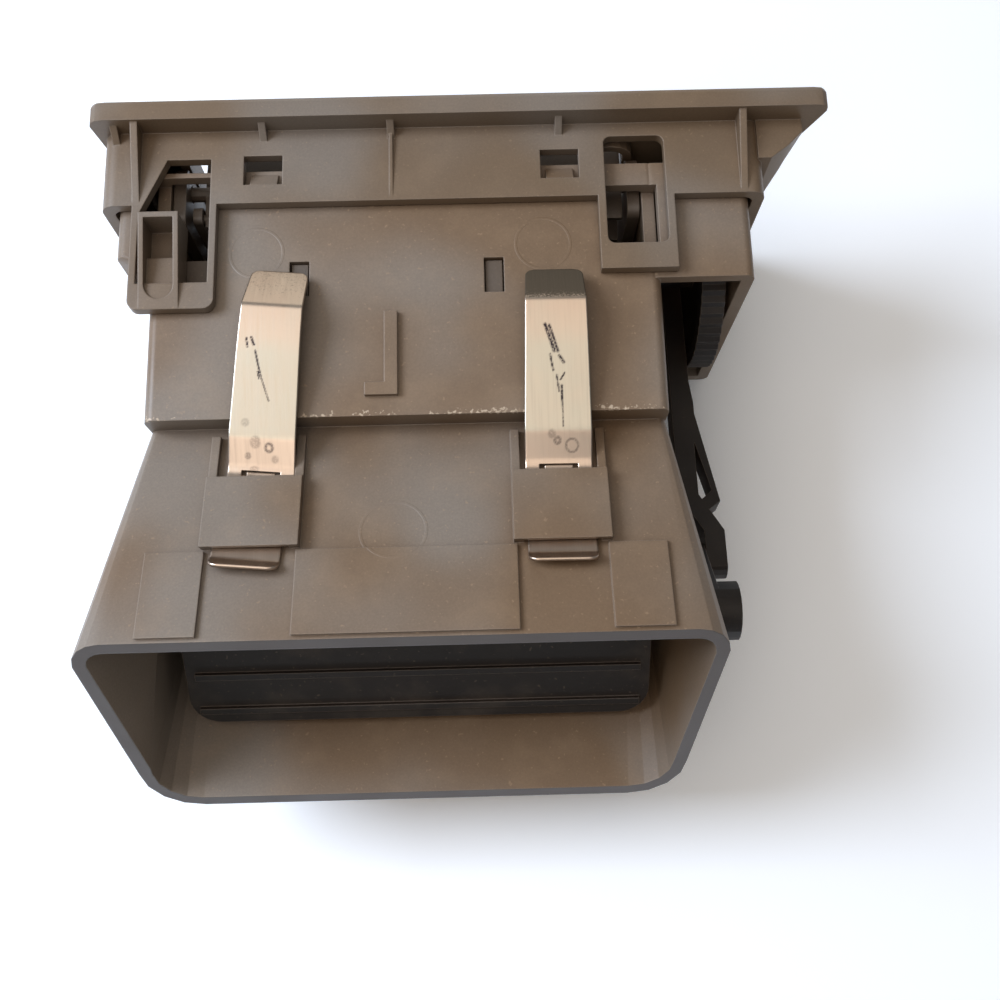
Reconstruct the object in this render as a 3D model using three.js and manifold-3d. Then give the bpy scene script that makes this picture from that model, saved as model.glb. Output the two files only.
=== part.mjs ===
// A car dashboard air vent, left-hand outlet: a bezel with a grille of tilting vanes in front, a moulded
// housing behind it, and a shut-off flap in the inlet duct that a thumbwheel turns through a side linkage.
// Millimetres, +Z up. The grille faces -Y and the inlet opens towards +Y. X is 0 at the middle of the bezel,
// and Z is 0 at the bezel's lower edge. Each piece is first placed with Y = 0 at the back of the bezel's
// flange, and the finished vent is moved so that Y is 0 at the middle of its depth.
import * as THREE from 'three';
import { mergeVertices } from 'three/addons/utils/BufferGeometryUtils.js';
import Module from 'manifold-3d';

const wasm = await Module();
wasm.setup();

// Fits and facets
const fitGap = 0.3;
const cutOverrun = 1;
const cornerSteps = 4;
const roundSteps = 20;

// Bezel
const bezelWidth = 143.4;
const bezelHeight = 72;
const bezelCornerRadius = 4;
const wheelEndDraw = 11;
const wheelEndFade = 20;
const farEndDraw = 2.4;
const farEndFade = 7;
const flangeThickness = 4.4;
const flangeEdgeRound = 1.1;
const grilleHeight = 51;
const grilleCornerRadius = 2.4;
const grilleChamfer = 2;
const wheelSlotPlay = 0.9;
const collarWall = 1.8;
const collarDepth = 3;

// Housing: the barrel behind the grille
const bodyOffset = 11;
const barrelWidth = 98.4;
const barrelHeight = 57.2;
const barrelFront = 7.5;
const barrelLength = 58.6;
const barrelCornerRadius = 2;
const barrelInnerRadius = 1;
const wall = 2.5;

// Housing: the front box, with the wheel's pocket on one side and a shoulder on the other
const pocketWidth = 18.2;
const pocketLength = 32;
const shoulderWidth = 6.8;
const shoulderLength = 28;
const shoulderTaper = 3;

// Housing: the inlet duct
const stepDrop = 5.7;
const ductLength = 42.4;
const rimRise = 6.5;
const mouthTopWidth = 115.5;
const mouthBottomWidth = 106.5;
const mouthShift = 1;
const mouthHeight = 50.4;
const mouthLean = THREE.MathUtils.degToRad(31.6);
const mouthTopRadius = 6;
const mouthBottomRadius = 11;

// Housing: ribs, lands and locating windows on the outside
const landHeight = 0.8;
const landSetback = 0.5;
const channelWidth = 16.4;
const markWidth = 2.5;
const markLength = 16.8;
const markFoot = 6.2;
const markHeight = 1.1;
const markSetback = 3.8;
const markShift = 4.1;
const vaneWindowWidth = 3.8;
const vaneWindowLength = 7.2;
const vaneWindowSpread = 37.4;
const vaneWindowShift = 1.7;
const vaneWindowAhead = 4;

// Skirt behind the bezel's flange, and the legs that reach back from it
const skirtWall = 2.2;
const skirtDepth = 15.6;
const skirtCornerRadius = 3;
const skirtSideGap = 0.7;
const earWidth = 8;
const earDepth = 4.2;
const earFoot = 8.3;
const earInset = 3;
const legWidth = 16.3;
const legLength = 37.3;
const legInset = 36.2;
const legWindowFront = 6;
const legBar = 5.3;
const legWindowMargin = 1.3;
const legWindowRadius = 2;
const fingerWidth = 7.6;
const fingerStart = 18.7;
const fingerRise = 3.2;
const fingerDrop = 4.4;
const fingerWall = 1;
const fingerFloor = 1.2;
const fingerSide = 0.9;
const tongueWidth = 14.8;
const tongueLength = 31;
const tongueInset = 37.5;
const tongueBar = 5.2;
const tongueMargin = 1.5;
const tongueWindowFront = 2.9;
const catchWidth = 5.3;
const catchDepth = 2.9;
const catchHeight = 1.9;
const catchSetback = 1;
const catchMargin = 1.1;
const catchWindowLength = 5.6;
const catchSpread = 57.7;
const catchShift = 1.45;
const ribThickness = 1.4;
const gussetDepth = 2.4;
const gussetHeight = 3;
const ribDepth = 15;
const ribHeight = 4.2;
const midRibShift = 2.5;

// Spring clips and their seats on the duct
const clipSpread = 56;
const clipWidth = 12.4;
const clipTipWidth = 11.2;
const clipThickness = 0.6;
const clipTilt = THREE.MathUtils.degToRad(-4.2);
const clipTipRun = 8.4;
const clipTipHeight = 1.4;
const clipRun = 23.8;
const clipCrestHeight = 5.4;
const clipKneeSetback = 3.6;
const clipKneeHeight = 0.5;
const clipTailRun = 2.9;
const clipLip = 1.6;
const clipSlotWidth = 7.4;
const clipSlotLength = 1.3;
const bridgeSetback = 11.1;
const bridgeLength = 14;
const bridgeWall = 1.8;
const bridgePlay = 0.8;
const bridgeStrap = 1.5;
const railSetback = 2.2;
const railWidth = 1.6;

// Thumbwheel
const wheelRadius = 22;
const wheelWidth = 4.8;
const wheelInset = 6;
const wheelY = 16.2;
const wheelTeeth = 56;
const wheelToothDepth = 0.5;
const wheelRim = 3;
const wheelWeb = 2;
const wheelHubRadius = 4.6;
const axleRadius = 2;
const bearingWall = 2.4;
const crankRadius = 16;
const crankAngle = THREE.MathUtils.degToRad(221.5);
const crankPinRadius = 2;

// Flap, its lever and the rod between lever and wheel
const flapSetback = 7.5;
const flapDrop = 20.9;
const flapSideGap = 0.5;
const flapChord = 45.6;
const flapThickness = 2.2;
const flapCornerRadius = 6;
const flapLean = THREE.MathUtils.degToRad(41.6);
const flapHubRadius = 3.6;
const flapPinRadius = 2.6;
const flapRidgeWidth = 1.4;
const flapRidgeHeight = 0.9;
const flapRidgeInner = 11.4;
const flapRidgeOuter = 19.6;
const sealThickness = 1.6;
const sealLip = 0.6;
const sealBand = 6;
const flapBossRadius = 5;
const flapBossInset = 2.35;
const leverThickness = 3.2;
const leverBossRadius = 5.8;
const leverBossLength = 7.2;
const leverEyeRadius = 4;
const rodHeight = 6;
const rodThickness = 4.2;
const rodEyeRadius = 3.6;
const rodPinRadius = 1.8;
const rodLeaf = 1.6;
const rodBodyWidth = 4.8;
const rodBodyRun = 10;
const rodLoopRun = 16;
const rodJogRun = 8;
const rodEndRun = 5.9;
const rodLeafReach = 4.4;

// Tilting vanes in front
const tilterCount = 5;
const tilterEndRoom = 4.9;
const tilterChord = 15;
const tilterThickness = 2.2;
const tilterEdge = 1;
const tilterY = 7;
const pivotRadius = 1.5;
const linkPinRadius = 1;
const tilterCrank = 5.6;
const sidePlateThickness = 2.4;
const sidePlateAhead = 3.6;
const sidePlateBehind = 9;
const sidePlateMargin = 2;
const tieWidth = 3.6;
const tieThickness = 1.8;
const tieMargin = 2.4;

// Upright vanes behind them
const turnerCount = 7;
const turnerEndRoom = 8.9;
const turnerFront = 14;
const turnerRear = 11;
const turnerThickness = 2;
const turnerEdge = 1;
const turnerY = 31;
const turnerCrank = 8;
const stripThickness = 2.2;
const stripAhead = 6;
const stripBehind = 6.4;
const tabRise = 2;

// Sliding knob on the middle tilting vane, with a fork round a bar of the middle upright vane
const knobWidth = 13;
const knobHeight = 6.6;
const knobReach = 13;
const knobBack = 6.4;
const knobPlate = 1.1;
const knobPlateWidth = 8;
const forkBarRadius = 1.1;
const forkBarInset = 0.6;
const forkPlay = 0.5;
const forkProng = 1.6;
const forkPast = 5.4;
const forkHeight = 3;
const forkRoot = 1.2;
const forkWindowHalf = 10.5;
const forkWindowFromAxis = 6.4;

// Places worked out from the sizes above
const midZ = bezelHeight / 2;
const barrelTop = midZ + barrelHeight / 2;
const barrelBottom = midZ - barrelHeight / 2;
const halfBarrel = barrelWidth / 2;
const innerHalf = halfBarrel - wall;
const pocketReach = halfBarrel + pocketWidth;
const shoulderReach = halfBarrel + shoulderWidth;
const outboard = (reach) => bodyOffset - reach;
const ductSlope = (stepDrop + rimRise) / ductLength;
const ductTop = (y) => barrelTop - stepDrop + ductSlope * (y - barrelLength);
const rimY = barrelLength + ductLength;
const skirtTop = barrelTop + fitGap + skirtWall;
const grilleWidth = 2 * (innerHalf - sidePlateThickness - 2 * fitGap);
const legWindowRear = legLength - legBar;
const catchStart = barrelFront + catchSetback;
const bridgeStart = barrelLength + bridgeSetback;
const bridgeEnd = bridgeStart + bridgeLength;
const clipKnee = barrelLength + clipKneeSetback;
const clipCrest = clipKnee - clipRun;
const clipTip = clipCrest - clipTipRun;
const clipTail = bridgeEnd + clipTailRun;
const wheelReach = pocketReach - wheelInset;
const wheelZ = midZ;
const flapY = rimY - flapSetback;
const flapZ = barrelTop - flapDrop;
const flapHalfWidth = innerHalf - flapSideGap;
const flapBossReach = mouthTopWidth / 2 - flapBossInset;
const sidePlateHalf = barrelHeight / 2 - wall - sidePlateMargin;
const tilterPitch = 2 * (sidePlateHalf - tilterEndRoom) / (tilterCount - 1);
const turnerPitch = 2 * (innerHalf - turnerEndRoom) / (turnerCount - 1);
const forkBarFromAxis = turnerFront - forkBarInset;

// Materials
const plastic = new THREE.MeshStandardMaterial({ color: 0x7d7267, roughness: 0.55, metalness: 0 });
const vanePlastic = new THREE.MeshStandardMaterial({ color: 0x5d564f, roughness: 0.5, metalness: 0 });
const darkPlastic = new THREE.MeshStandardMaterial({ color: 0x33241b, roughness: 0.45, metalness: 0 });
const springSteel = new THREE.MeshStandardMaterial({ color: 0xcdbda6, roughness: 0.35, metalness: 0.9 });
const foam = new THREE.MeshStandardMaterial({ color: 0x23201e, roughness: 0.95, metalness: 0 });

function solid(geometry) {
  const bare = geometry.clone();
  bare.deleteAttribute('normal');
  bare.deleteAttribute('uv');
  const merged = mergeVertices(bare);
  return new wasm.Manifold(new wasm.Mesh({
    numProp: 3,
    vertProperties: new Float32Array(merged.attributes.position.array),
    triVerts: new Uint32Array(merged.index.array),
  }));
}

function geometryOf(body) {
  const mesh = body.getMesh();
  const geometry = new THREE.BufferGeometry();
  geometry.setAttribute('position', new THREE.BufferAttribute(mesh.vertProperties, 3));
  geometry.setIndex(new THREE.BufferAttribute(mesh.triVerts, 1));
  geometry.computeVertexNormals();
  return geometry;
}

const join = (...bodies) => bodies.reduce((sum, next) => sum.add(next));
const cut = (body, ...tools) => tools.reduce((left, tool) => left.subtract(tool), body);

function block(x0, x1, y0, y1, z0, z1) {
  const geometry = new THREE.BoxGeometry(x1 - x0, y1 - y0, z1 - z0);
  geometry.translate((x0 + x1) / 2, (y0 + y1) / 2, (z0 + z1) / 2);
  return solid(geometry);
}

function roundedOutline(x0, x1, y0, y1, radius) {
  const shape = new THREE.Shape();
  shape.absarc(x1 - radius, y1 - radius, radius, 0, Math.PI / 2, false);
  shape.absarc(x0 + radius, y1 - radius, radius, Math.PI / 2, Math.PI, false);
  shape.absarc(x0 + radius, y0 + radius, radius, Math.PI, 1.5 * Math.PI, false);
  shape.absarc(x1 - radius, y0 + radius, radius, 1.5 * Math.PI, 2 * Math.PI, false);
  return shape;
}

function outlineOf(points) {
  return new THREE.Shape(points.map(([x, y]) => new THREE.Vector2(x, y)));
}

function extruded(shape, depth, bevel = 0) {
  return new THREE.ExtrudeGeometry(shape, {
    depth,
    curveSegments: cornerSteps,
    bevelEnabled: bevel > 0,
    bevelThickness: bevel,
    bevelSize: bevel,
    bevelOffset: -bevel,
    bevelSegments: 2,
  });
}

// A flat outline in X and Z given depth along Y
function alongY(shape, y0, y1, bevel = 0) {
  const geometry = extruded(shape, y1 - y0 - 2 * bevel, bevel);
  geometry.rotateX(Math.PI / 2);
  geometry.translate(0, y1 - bevel, 0);
  return solid(geometry);
}

// A flat outline in Y and Z given depth along X
function alongX(shape, x0, x1) {
  const geometry = extruded(shape, x1 - x0);
  const turn = new THREE.Matrix4().makeBasis(
    new THREE.Vector3(0, 1, 0),
    new THREE.Vector3(0, 0, 1),
    new THREE.Vector3(1, 0, 0),
  );
  geometry.applyMatrix4(turn);
  geometry.translate(x0, 0, 0);
  return solid(geometry);
}

// A flat outline in X and Y given depth along Z
function alongZ(shape, z0, z1) {
  const geometry = extruded(shape, z1 - z0);
  geometry.translate(0, 0, z0);
  return solid(geometry);
}

function rodX(radius, x0, x1, y, z, steps = roundSteps) {
  const geometry = new THREE.CylinderGeometry(radius, radius, x1 - x0, steps);
  geometry.rotateZ(-Math.PI / 2);
  geometry.translate((x0 + x1) / 2, y, z);
  return solid(geometry);
}

function rodZ(radius, z0, z1, x, y, steps = roundSteps) {
  const geometry = new THREE.CylinderGeometry(radius, radius, z1 - z0, steps);
  geometry.rotateX(Math.PI / 2);
  geometry.translate(x, y, (z0 + z1) / 2);
  return solid(geometry);
}

// Points round a four-sided outline with arcs at its corners; low and high are its lower and upper edges
function cornered(lowHalf, highHalf, low, high, lowRadius, highRadius) {
  const points = [];
  const corners = [
    [highHalf - highRadius, high - highRadius, highRadius, 0],
    [highRadius - highHalf, high - highRadius, highRadius, 1],
    [lowRadius - lowHalf, low + lowRadius, lowRadius, 2],
    [lowHalf - lowRadius, low + lowRadius, lowRadius, 3],
  ];
  for (const [u, v, radius, quarter] of corners) {
    for (let step = 0; step <= cornerSteps; step += 1) {
      const angle = (quarter + step / cornerSteps) * Math.PI / 2;
      points.push([u + radius * Math.cos(angle), v + radius * Math.sin(angle)]);
    }
  }
  return points;
}

// A closed skin between two rings of as many points, run on past either end by a share of its length
function loft(startRing, endRing, startShare = 0, endShare = 1) {
  const count = startRing.length;
  const ringAt = (share) => startRing.map((point, i) => point.clone().lerp(endRing[i], share));
  const points = [...ringAt(startShare), ...ringAt(endShare)];
  const faces = [];
  for (let i = 0; i < count; i += 1) {
    const next = (i + 1) % count;
    faces.push(i, i + count, next, next, i + count, next + count);
  }
  for (let i = 1; i < count - 1; i += 1) {
    faces.push(0, i, i + 1);
    faces.push(count, count + i + 1, count + i);
  }
  const geometry = new THREE.BufferGeometry();
  geometry.setFromPoints(points);
  geometry.setIndex(faces);
  return solid(geometry);
}

const mouthPoint = (u, v) => new THREE.Vector3(
  bodyOffset + mouthShift + u,
  rimY - v * Math.sin(mouthLean),
  barrelTop + rimRise + v * Math.cos(mouthLean),
);

function ductRings(inset, startRadius) {
  const start = cornered(
    halfBarrel - inset, halfBarrel - inset, barrelBottom + inset, barrelTop - stepDrop - inset,
    startRadius, startRadius,
  ).map(([u, v]) => new THREE.Vector3(bodyOffset + u, barrelLength, v));
  const end = cornered(
    mouthBottomWidth / 2 - inset, mouthTopWidth / 2 - inset, inset - mouthHeight, -inset,
    mouthBottomRadius - inset, mouthTopRadius - inset,
  ).map(([u, v]) => mouthPoint(u, v));
  return [start, end];
}

// The housing's outside, before its hollows are cut: barrel, pocket box, shoulder and duct
function housingOutside() {
  const [start, end] = ductRings(0, barrelCornerRadius);
  const barrel = alongY(roundedOutline(
    bodyOffset - halfBarrel, bodyOffset + halfBarrel, barrelBottom, barrelTop, barrelCornerRadius,
  ), barrelFront, barrelLength);
  const pocket = alongY(roundedOutline(
    outboard(pocketReach), outboard(innerHalf), barrelBottom, barrelTop, barrelCornerRadius,
  ), barrelFront, pocketLength);
  const shoulderRing = (reach, y) => cornered(
    reach / 2, reach / 2, barrelBottom, barrelTop, barrelCornerRadius, barrelCornerRadius,
  ).map(([u, v]) => new THREE.Vector3(bodyOffset + reach / 2 + u, y, v));
  const taperStart = shoulderLength - shoulderTaper;
  const shoulder = join(
    loft(shoulderRing(shoulderReach, barrelFront), shoulderRing(shoulderReach, taperStart)),
    loft(shoulderRing(shoulderReach, taperStart), shoulderRing(halfBarrel, shoulderLength)),
  );
  return join(barrel, pocket, shoulder, loft(start, end));
}

function housingHollows() {
  const [start, end] = ductRings(wall, barrelInnerRadius);
  const barrel = alongY(roundedOutline(
    bodyOffset - innerHalf, bodyOffset + innerHalf,
    barrelBottom + wall, barrelTop - wall, barrelInnerRadius,
  ), barrelFront - cutOverrun, barrelLength - wall);
  const pocket = block(
    outboard(pocketReach - wall), outboard(halfBarrel),
    barrelFront - cutOverrun, pocketLength + cutOverrun,
    barrelBottom + wall, barrelTop - wall,
  );
  const shoulder = block(
    bodyOffset + halfBarrel, bodyOffset + shoulderReach - wall,
    barrelFront - cutOverrun, shoulderLength - shoulderTaper - wall,
    barrelBottom + wall, barrelTop - wall,
  );
  const throat = alongY(roundedOutline(
    bodyOffset - innerHalf, bodyOffset + innerHalf,
    barrelBottom + wall, barrelTop - stepDrop - wall, barrelInnerRadius,
  ), barrelLength - wall - cutOverrun, barrelLength);
  return [barrel, pocket, shoulder, throat, loft(start, end, 0, 1 + cutOverrun / ductLength)];
}

const clipCentres = [bodyOffset + clipSpread / 2, bodyOffset - clipSpread / 2];
const bridgeInner = clipWidth + 2 * bridgePlay;
const bridgeOuter = bridgeInner + 2 * bridgeWall;
const bridgeRoom = clipThickness + 2 * fitGap;

// A slab that follows the duct's top between two depths, from one height above it to another
function ductSlab(x0, x1, y0, y1, low, high) {
  return alongX(outlineOf([
    [y0, ductTop(y0) + low],
    [y1, ductTop(y1) + low],
    [y1, ductTop(y1) + high],
    [y0, ductTop(y0) + high],
  ]), x0, x1);
}

// The bridge that holds a spring clip down, with the two rails in front of it
function clipSeat(centre) {
  const half = bridgeOuter / 2;
  const top = bridgeRoom + bridgeStrap;
  const root = -wall / 2;
  const rails = [centre - half, centre + half - railWidth].map((x0) => ductSlab(
    x0, x0 + railWidth, barrelLength + railSetback, bridgeStart + wall, root, top + root,
  ));
  const strap = ductSlab(centre - half, centre + half, bridgeStart, bridgeEnd, root, top);
  const room = ductSlab(
    centre - bridgeInner / 2, centre + bridgeInner / 2,
    bridgeStart - cutOverrun, bridgeEnd + cutOverrun, 0, bridgeRoom,
  );
  return cut(join(strap, ...rails), room);
}

// Raised lands along the duct's top, which leave a channel behind each clip
function ductLands() {
  const y0 = bridgeEnd + landSetback;
  const y1 = rimY - landHeight;
  const edges = [
    [bodyOffset - halfBarrel + wall, clipCentres[1] - channelWidth / 2],
    [clipCentres[1] + channelWidth / 2, clipCentres[0] - channelWidth / 2],
    [clipCentres[0] + channelWidth / 2, bodyOffset + halfBarrel - wall],
  ];
  return edges.map(([x0, x1]) => ductSlab(x0, x1, y0, y1, -wall / 2, landHeight));
}

// A low L-shaped rib on the barrel's top, between the clips
function housingMark() {
  const x1 = bodyOffset + markShift;
  const x0 = x1 - markWidth;
  const low = barrelTop - wall / 2;
  const high = barrelTop + markHeight;
  const end = barrelLength - markSetback;
  return join(
    block(x0, x1, end - markLength, end, low, high),
    block(x0, x0 + markFoot, end - markWidth, end, low, high),
  );
}

const catchMiddle = bodyOffset - catchShift;
const catchCentres = [catchMiddle + catchSpread / 2, catchMiddle - catchSpread / 2];

// Wedges above and below the barrel that snap into the skirt's windows
function housingCatches() {
  return catchCentres.flatMap((centre) => [1, -1].map((side) => {
    const face = midZ + side * barrelHeight / 2;
    const root = face - side * wall / 2;
    const wedge = outlineOf([
      [catchStart, root],
      [catchStart + catchDepth, root],
      [catchStart + catchDepth, face + side * catchHeight],
      [catchStart, face + side * fitGap],
    ]);
    return alongX(wedge, centre - catchWidth / 2, centre + catchWidth / 2);
  }));
}

const windowMiddle = bodyOffset + vaneWindowShift;
const windowCentres = [windowMiddle + vaneWindowSpread / 2, windowMiddle - vaneWindowSpread / 2];
const vaneWindowStart = turnerY - vaneWindowAhead;

// Square windows above and below the barrel, for the tabs of the vane strips
function vaneWindows() {
  return windowCentres.map((centre) => block(
    centre - vaneWindowWidth / 2, centre + vaneWindowWidth / 2,
    vaneWindowStart, vaneWindowStart + vaneWindowLength,
    barrelBottom - cutOverrun, barrelTop + cutOverrun,
  ));
}

const legX = outboard(-legInset);
const fingerX = legX + legWidth - legWindowMargin - fingerSide - fingerWidth;

// Openings in the barrel's top under the bezel's snap finger and under its tongue window
function topOpenings() {
  const underFinger = block(
    legX + legWindowMargin, fingerX + fingerWidth + fingerSide,
    legWindowFront + wall, legWindowRear + fingerSide,
    barrelTop - wall - cutOverrun, barrelTop + cutOverrun,
  );
  const tongueX = outboard(tongueInset);
  const underTongue = block(
    tongueX - tongueWidth + 2 * tongueMargin, tongueX - tongueMargin,
    barrelFront + 2 * wall - fitGap, tongueLength - tongueBar,
    barrelTop - wall - cutOverrun, barrelTop + cutOverrun,
  );
  return [underFinger, underTongue];
}

const axleBearingX = outboard(halfBarrel + bearingWall);

function housing() {
  const flapBosses = join(
    rodX(flapBossRadius, outboard(flapBossReach), outboard(innerHalf), flapY, flapZ),
    rodX(flapBossRadius, outboard(-innerHalf), outboard(-flapBossReach), flapY, flapZ),
  );
  const wheelBoss = rodX(wheelHubRadius, axleBearingX, outboard(innerHalf + wall / 2), wheelY, wheelZ);
  const outside = join(
    housingOutside(),
    flapBosses,
    ...clipCentres.map(clipSeat),
    ...ductLands(),
    housingMark(),
    ...housingCatches(),
  );
  const shell = join(cut(outside, ...housingHollows()), wheelBoss);
  const boreReach = flapBossReach + cutOverrun;
  const flapBore = rodX(flapPinRadius + fitGap, outboard(boreReach), outboard(-boreReach), flapY, flapZ);
  const axleBore = axleRadius + fitGap;
  const innerAxleBore = rodX(
    axleBore, axleBearingX - cutOverrun, outboard(halfBarrel - wall / 2), wheelY, wheelZ,
  );
  const outerAxleBore = rodX(
    axleBore, outboard(pocketReach + cutOverrun), outboard(pocketReach - wall - cutOverrun), wheelY, wheelZ,
  );
  return cut(shell, flapBore, innerAxleBore, outerAxleBore, ...vaneWindows(), ...topOpenings());
}

const wheelX0 = outboard(wheelReach + wheelWidth / 2);
const wheelX1 = outboard(wheelReach - wheelWidth / 2);
const skirtX0 = outboard(pocketReach + skirtSideGap + skirtWall);
const skirtX1 = bodyOffset + shoulderReach + skirtSideGap + skirtWall;

// One end of the bezel: it draws in below the top edge, fast at first and then slower. The end stands out a
// little at the top, so that its rounded corner just reaches the bezel's width.
function bezelEnd(side, draw, fade) {
  const radius = bezelCornerRadius;
  const drawn = (below) => draw * (1 - Math.exp(-below / fade));
  const lost = radius * drawn(radius) / (radius + drawn(radius));
  return (below) => [side * (bezelWidth / 2 + lost - drawn(below)), bezelHeight - below];
}

// The bezel's outline in X and Z
function bezelOutline() {
  const radius = bezelCornerRadius;
  const wheelEnd = bezelEnd(-1, wheelEndDraw, wheelEndFade);
  const farEnd = bezelEnd(1, farEndDraw, farEndFade);
  const steps = 2 * cornerSteps;
  const depths = Array.from({ length: steps + 1 }, (_, i) => radius + (bezelHeight - 2 * radius) * i / steps);
  const shape = new THREE.Shape();
  shape.moveTo(farEnd(0)[0] - radius, bezelHeight);
  shape.lineTo(wheelEnd(0)[0] + radius, bezelHeight);
  shape.quadraticCurveTo(...wheelEnd(0), ...wheelEnd(radius));
  depths.slice(1).forEach((below) => shape.lineTo(...wheelEnd(below)));
  shape.quadraticCurveTo(...wheelEnd(bezelHeight), wheelEnd(bezelHeight)[0] + radius, 0);
  shape.lineTo(farEnd(bezelHeight)[0] - radius, 0);
  shape.quadraticCurveTo(...farEnd(bezelHeight), ...farEnd(bezelHeight - radius));
  depths.reverse().slice(1).forEach((below) => shape.lineTo(...farEnd(below)));
  shape.quadraticCurveTo(...farEnd(0), farEnd(0)[0] - radius, bezelHeight);
  return shape;
}

// The flange with its rounded front edge, the grille opening and the wheel's slot
function bezelFlange() {
  const outline = bezelOutline();
  const edge = flangeEdgeRound - flangeThickness;
  const flange = join(
    alongY(outline, -flangeThickness, edge + 2 * flangeEdgeRound, flangeEdgeRound),
    alongY(outline, edge, 0),
  );
  const opening = (grow) => cornered(
    grilleWidth / 2 + grow, grilleWidth / 2 + grow,
    midZ - grilleHeight / 2 - grow, midZ + grilleHeight / 2 + grow,
    grilleCornerRadius + grow, grilleCornerRadius + grow,
  );
  const ring = (grow, y) => opening(grow).map(([u, v]) => new THREE.Vector3(bodyOffset + u, y, v));
  const front = -flangeThickness - cutOverrun;
  const flare = loft(
    ring(grilleChamfer + cutOverrun, front), ring(0, grilleChamfer - flangeThickness),
  );
  const collar = loft(ring(collarWall, -flangeThickness / 2), ring(collarWall, collarDepth));
  const through = loft(ring(0, front), ring(0, collarDepth + cutOverrun));
  const slotReach = Math.sqrt(wheelRadius ** 2 - wheelY ** 2) + wheelSlotPlay;
  const slot = block(
    wheelX0 - wheelSlotPlay, wheelX1 + wheelSlotPlay, front, cutOverrun,
    wheelZ - slotReach, wheelZ + slotReach,
  );
  return { flange: join(flange, collar), openings: [flare, through, slot] };
}

// The skirt that the housing's front slides into, with an ear at its wheel side that follows the bezel's end
function bezelSkirt() {
  const low = bezelHeight - skirtTop;
  const outer = roundedOutline(skirtX0, skirtX1, low, skirtTop, skirtCornerRadius);
  const inner = roundedOutline(
    skirtX0 + skirtWall, skirtX1 - skirtWall, low + skirtWall, skirtTop - skirtWall,
    skirtCornerRadius - skirtWall / 2,
  );
  const tube = cut(
    alongY(outer, -flangeThickness / 2, skirtDepth),
    alongY(inner, -flangeThickness, skirtDepth + cutOverrun),
  );
  const root = -flangeThickness / 2;
  const earSeen = alongZ(outlineOf([
    [skirtX0 + skirtWall / 2, root],
    [skirtX0 + skirtWall / 2, earFoot],
    [skirtX0 - earInset / 2, earFoot],
    [skirtX0 - earWidth + earInset, earDepth + earInset / 2],
    [skirtX0 - earWidth + earInset / 2, earDepth],
    [skirtX0 - earWidth, earDepth - earInset / 2],
    [skirtX0 - earWidth, root],
  ]), low, skirtTop);
  const ear = earSeen.intersect(alongY(bezelOutline(), root, earFoot).translate([earInset, 0, 0]));
  return join(tube, ear);
}

// The leg and the tongue that reach back over the housing, and the snap finger in the leg's window
function bezelLegs() {
  const under = barrelTop + fitGap;
  const leg = alongZ(roundedOutline(
    legX, legX + legWidth, skirtDepth - skirtWall, legLength, legWindowRadius,
  ), under, skirtTop);
  const tongueX = outboard(tongueInset);
  const tongue = block(
    tongueX - tongueWidth, tongueX, skirtDepth - skirtWall, tongueLength, under, skirtTop,
  );
  const back = legLength;
  const finger = alongX(outlineOf([
    [fingerStart, skirtTop + fingerRise],
    [fingerStart, barrelTop - fingerDrop / 2],
    [legWindowRear - fingerFloor, barrelTop - fingerDrop / 2],
    [legWindowRear, under],
    [back, under],
    [back, skirtTop],
  ]), fingerX, fingerX + fingerWidth);
  const pocketShape = roundedOutline(
    fingerX + fingerWall, fingerX + fingerWidth - fingerWall, fingerStart + fingerWall,
    back - 2 * fingerWall, (fingerWidth - 2 * fingerWall) / 2,
  );
  const squareFront = block(
    fingerX + fingerWall, fingerX + fingerWidth - fingerWall,
    fingerStart + fingerWall, fingerStart + fingerWidth,
    barrelTop + fingerFloor - fingerDrop / 2, skirtTop + 2 * fingerRise,
  );
  const pocket = join(
    alongZ(pocketShape, under + fingerFloor, skirtTop + 2 * fingerRise),
    squareFront,
  );
  return { leg, tongue, finger: cut(finger, pocket) };
}

function bezelWindows() {
  const low = barrelTop;
  const high = skirtTop + cutOverrun;
  const edge = legX + legWidth - legWindowMargin;
  const legWindow = alongZ(outlineOf([
    [legX + legWindowMargin, legWindowFront],
    [edge - 4 * legWindowMargin, legWindowFront],
    [edge, fingerStart - legWindowMargin],
    [edge, legWindowRear],
    [legX + legWindowMargin, legWindowRear],
  ]), low, high);
  const tongueX = outboard(tongueInset);
  const tongueWindow = alongZ(roundedOutline(
    tongueX - tongueWidth + tongueMargin, tongueX - tongueMargin,
    tongueWindowFront, tongueLength - tongueBar, tongueMargin,
  ), low, high);
  const catches = catchCentres.map((centre) => block(
    centre - catchWidth / 2 - catchMargin, centre + catchWidth / 2 + catchMargin,
    catchStart - fitGap - (catchWindowLength - catchDepth), catchStart + catchDepth + fitGap,
    -cutOverrun, bezelHeight + cutOverrun,
  ));
  return [legWindow, tongueWindow, ...catches];
}

// A fin on the skirt that runs up to the flange; its top falls towards the back
function fin(x, depth, height, thickness) {
  return alongX(outlineOf([
    [-flangeThickness / 2, skirtTop - skirtWall / 2],
    [depth, skirtTop - skirtWall / 2],
    [depth, skirtTop],
    [0, skirtTop + height],
    [-flangeThickness / 2, skirtTop + height],
  ]), x - thickness / 2, x + thickness / 2);
}

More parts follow.
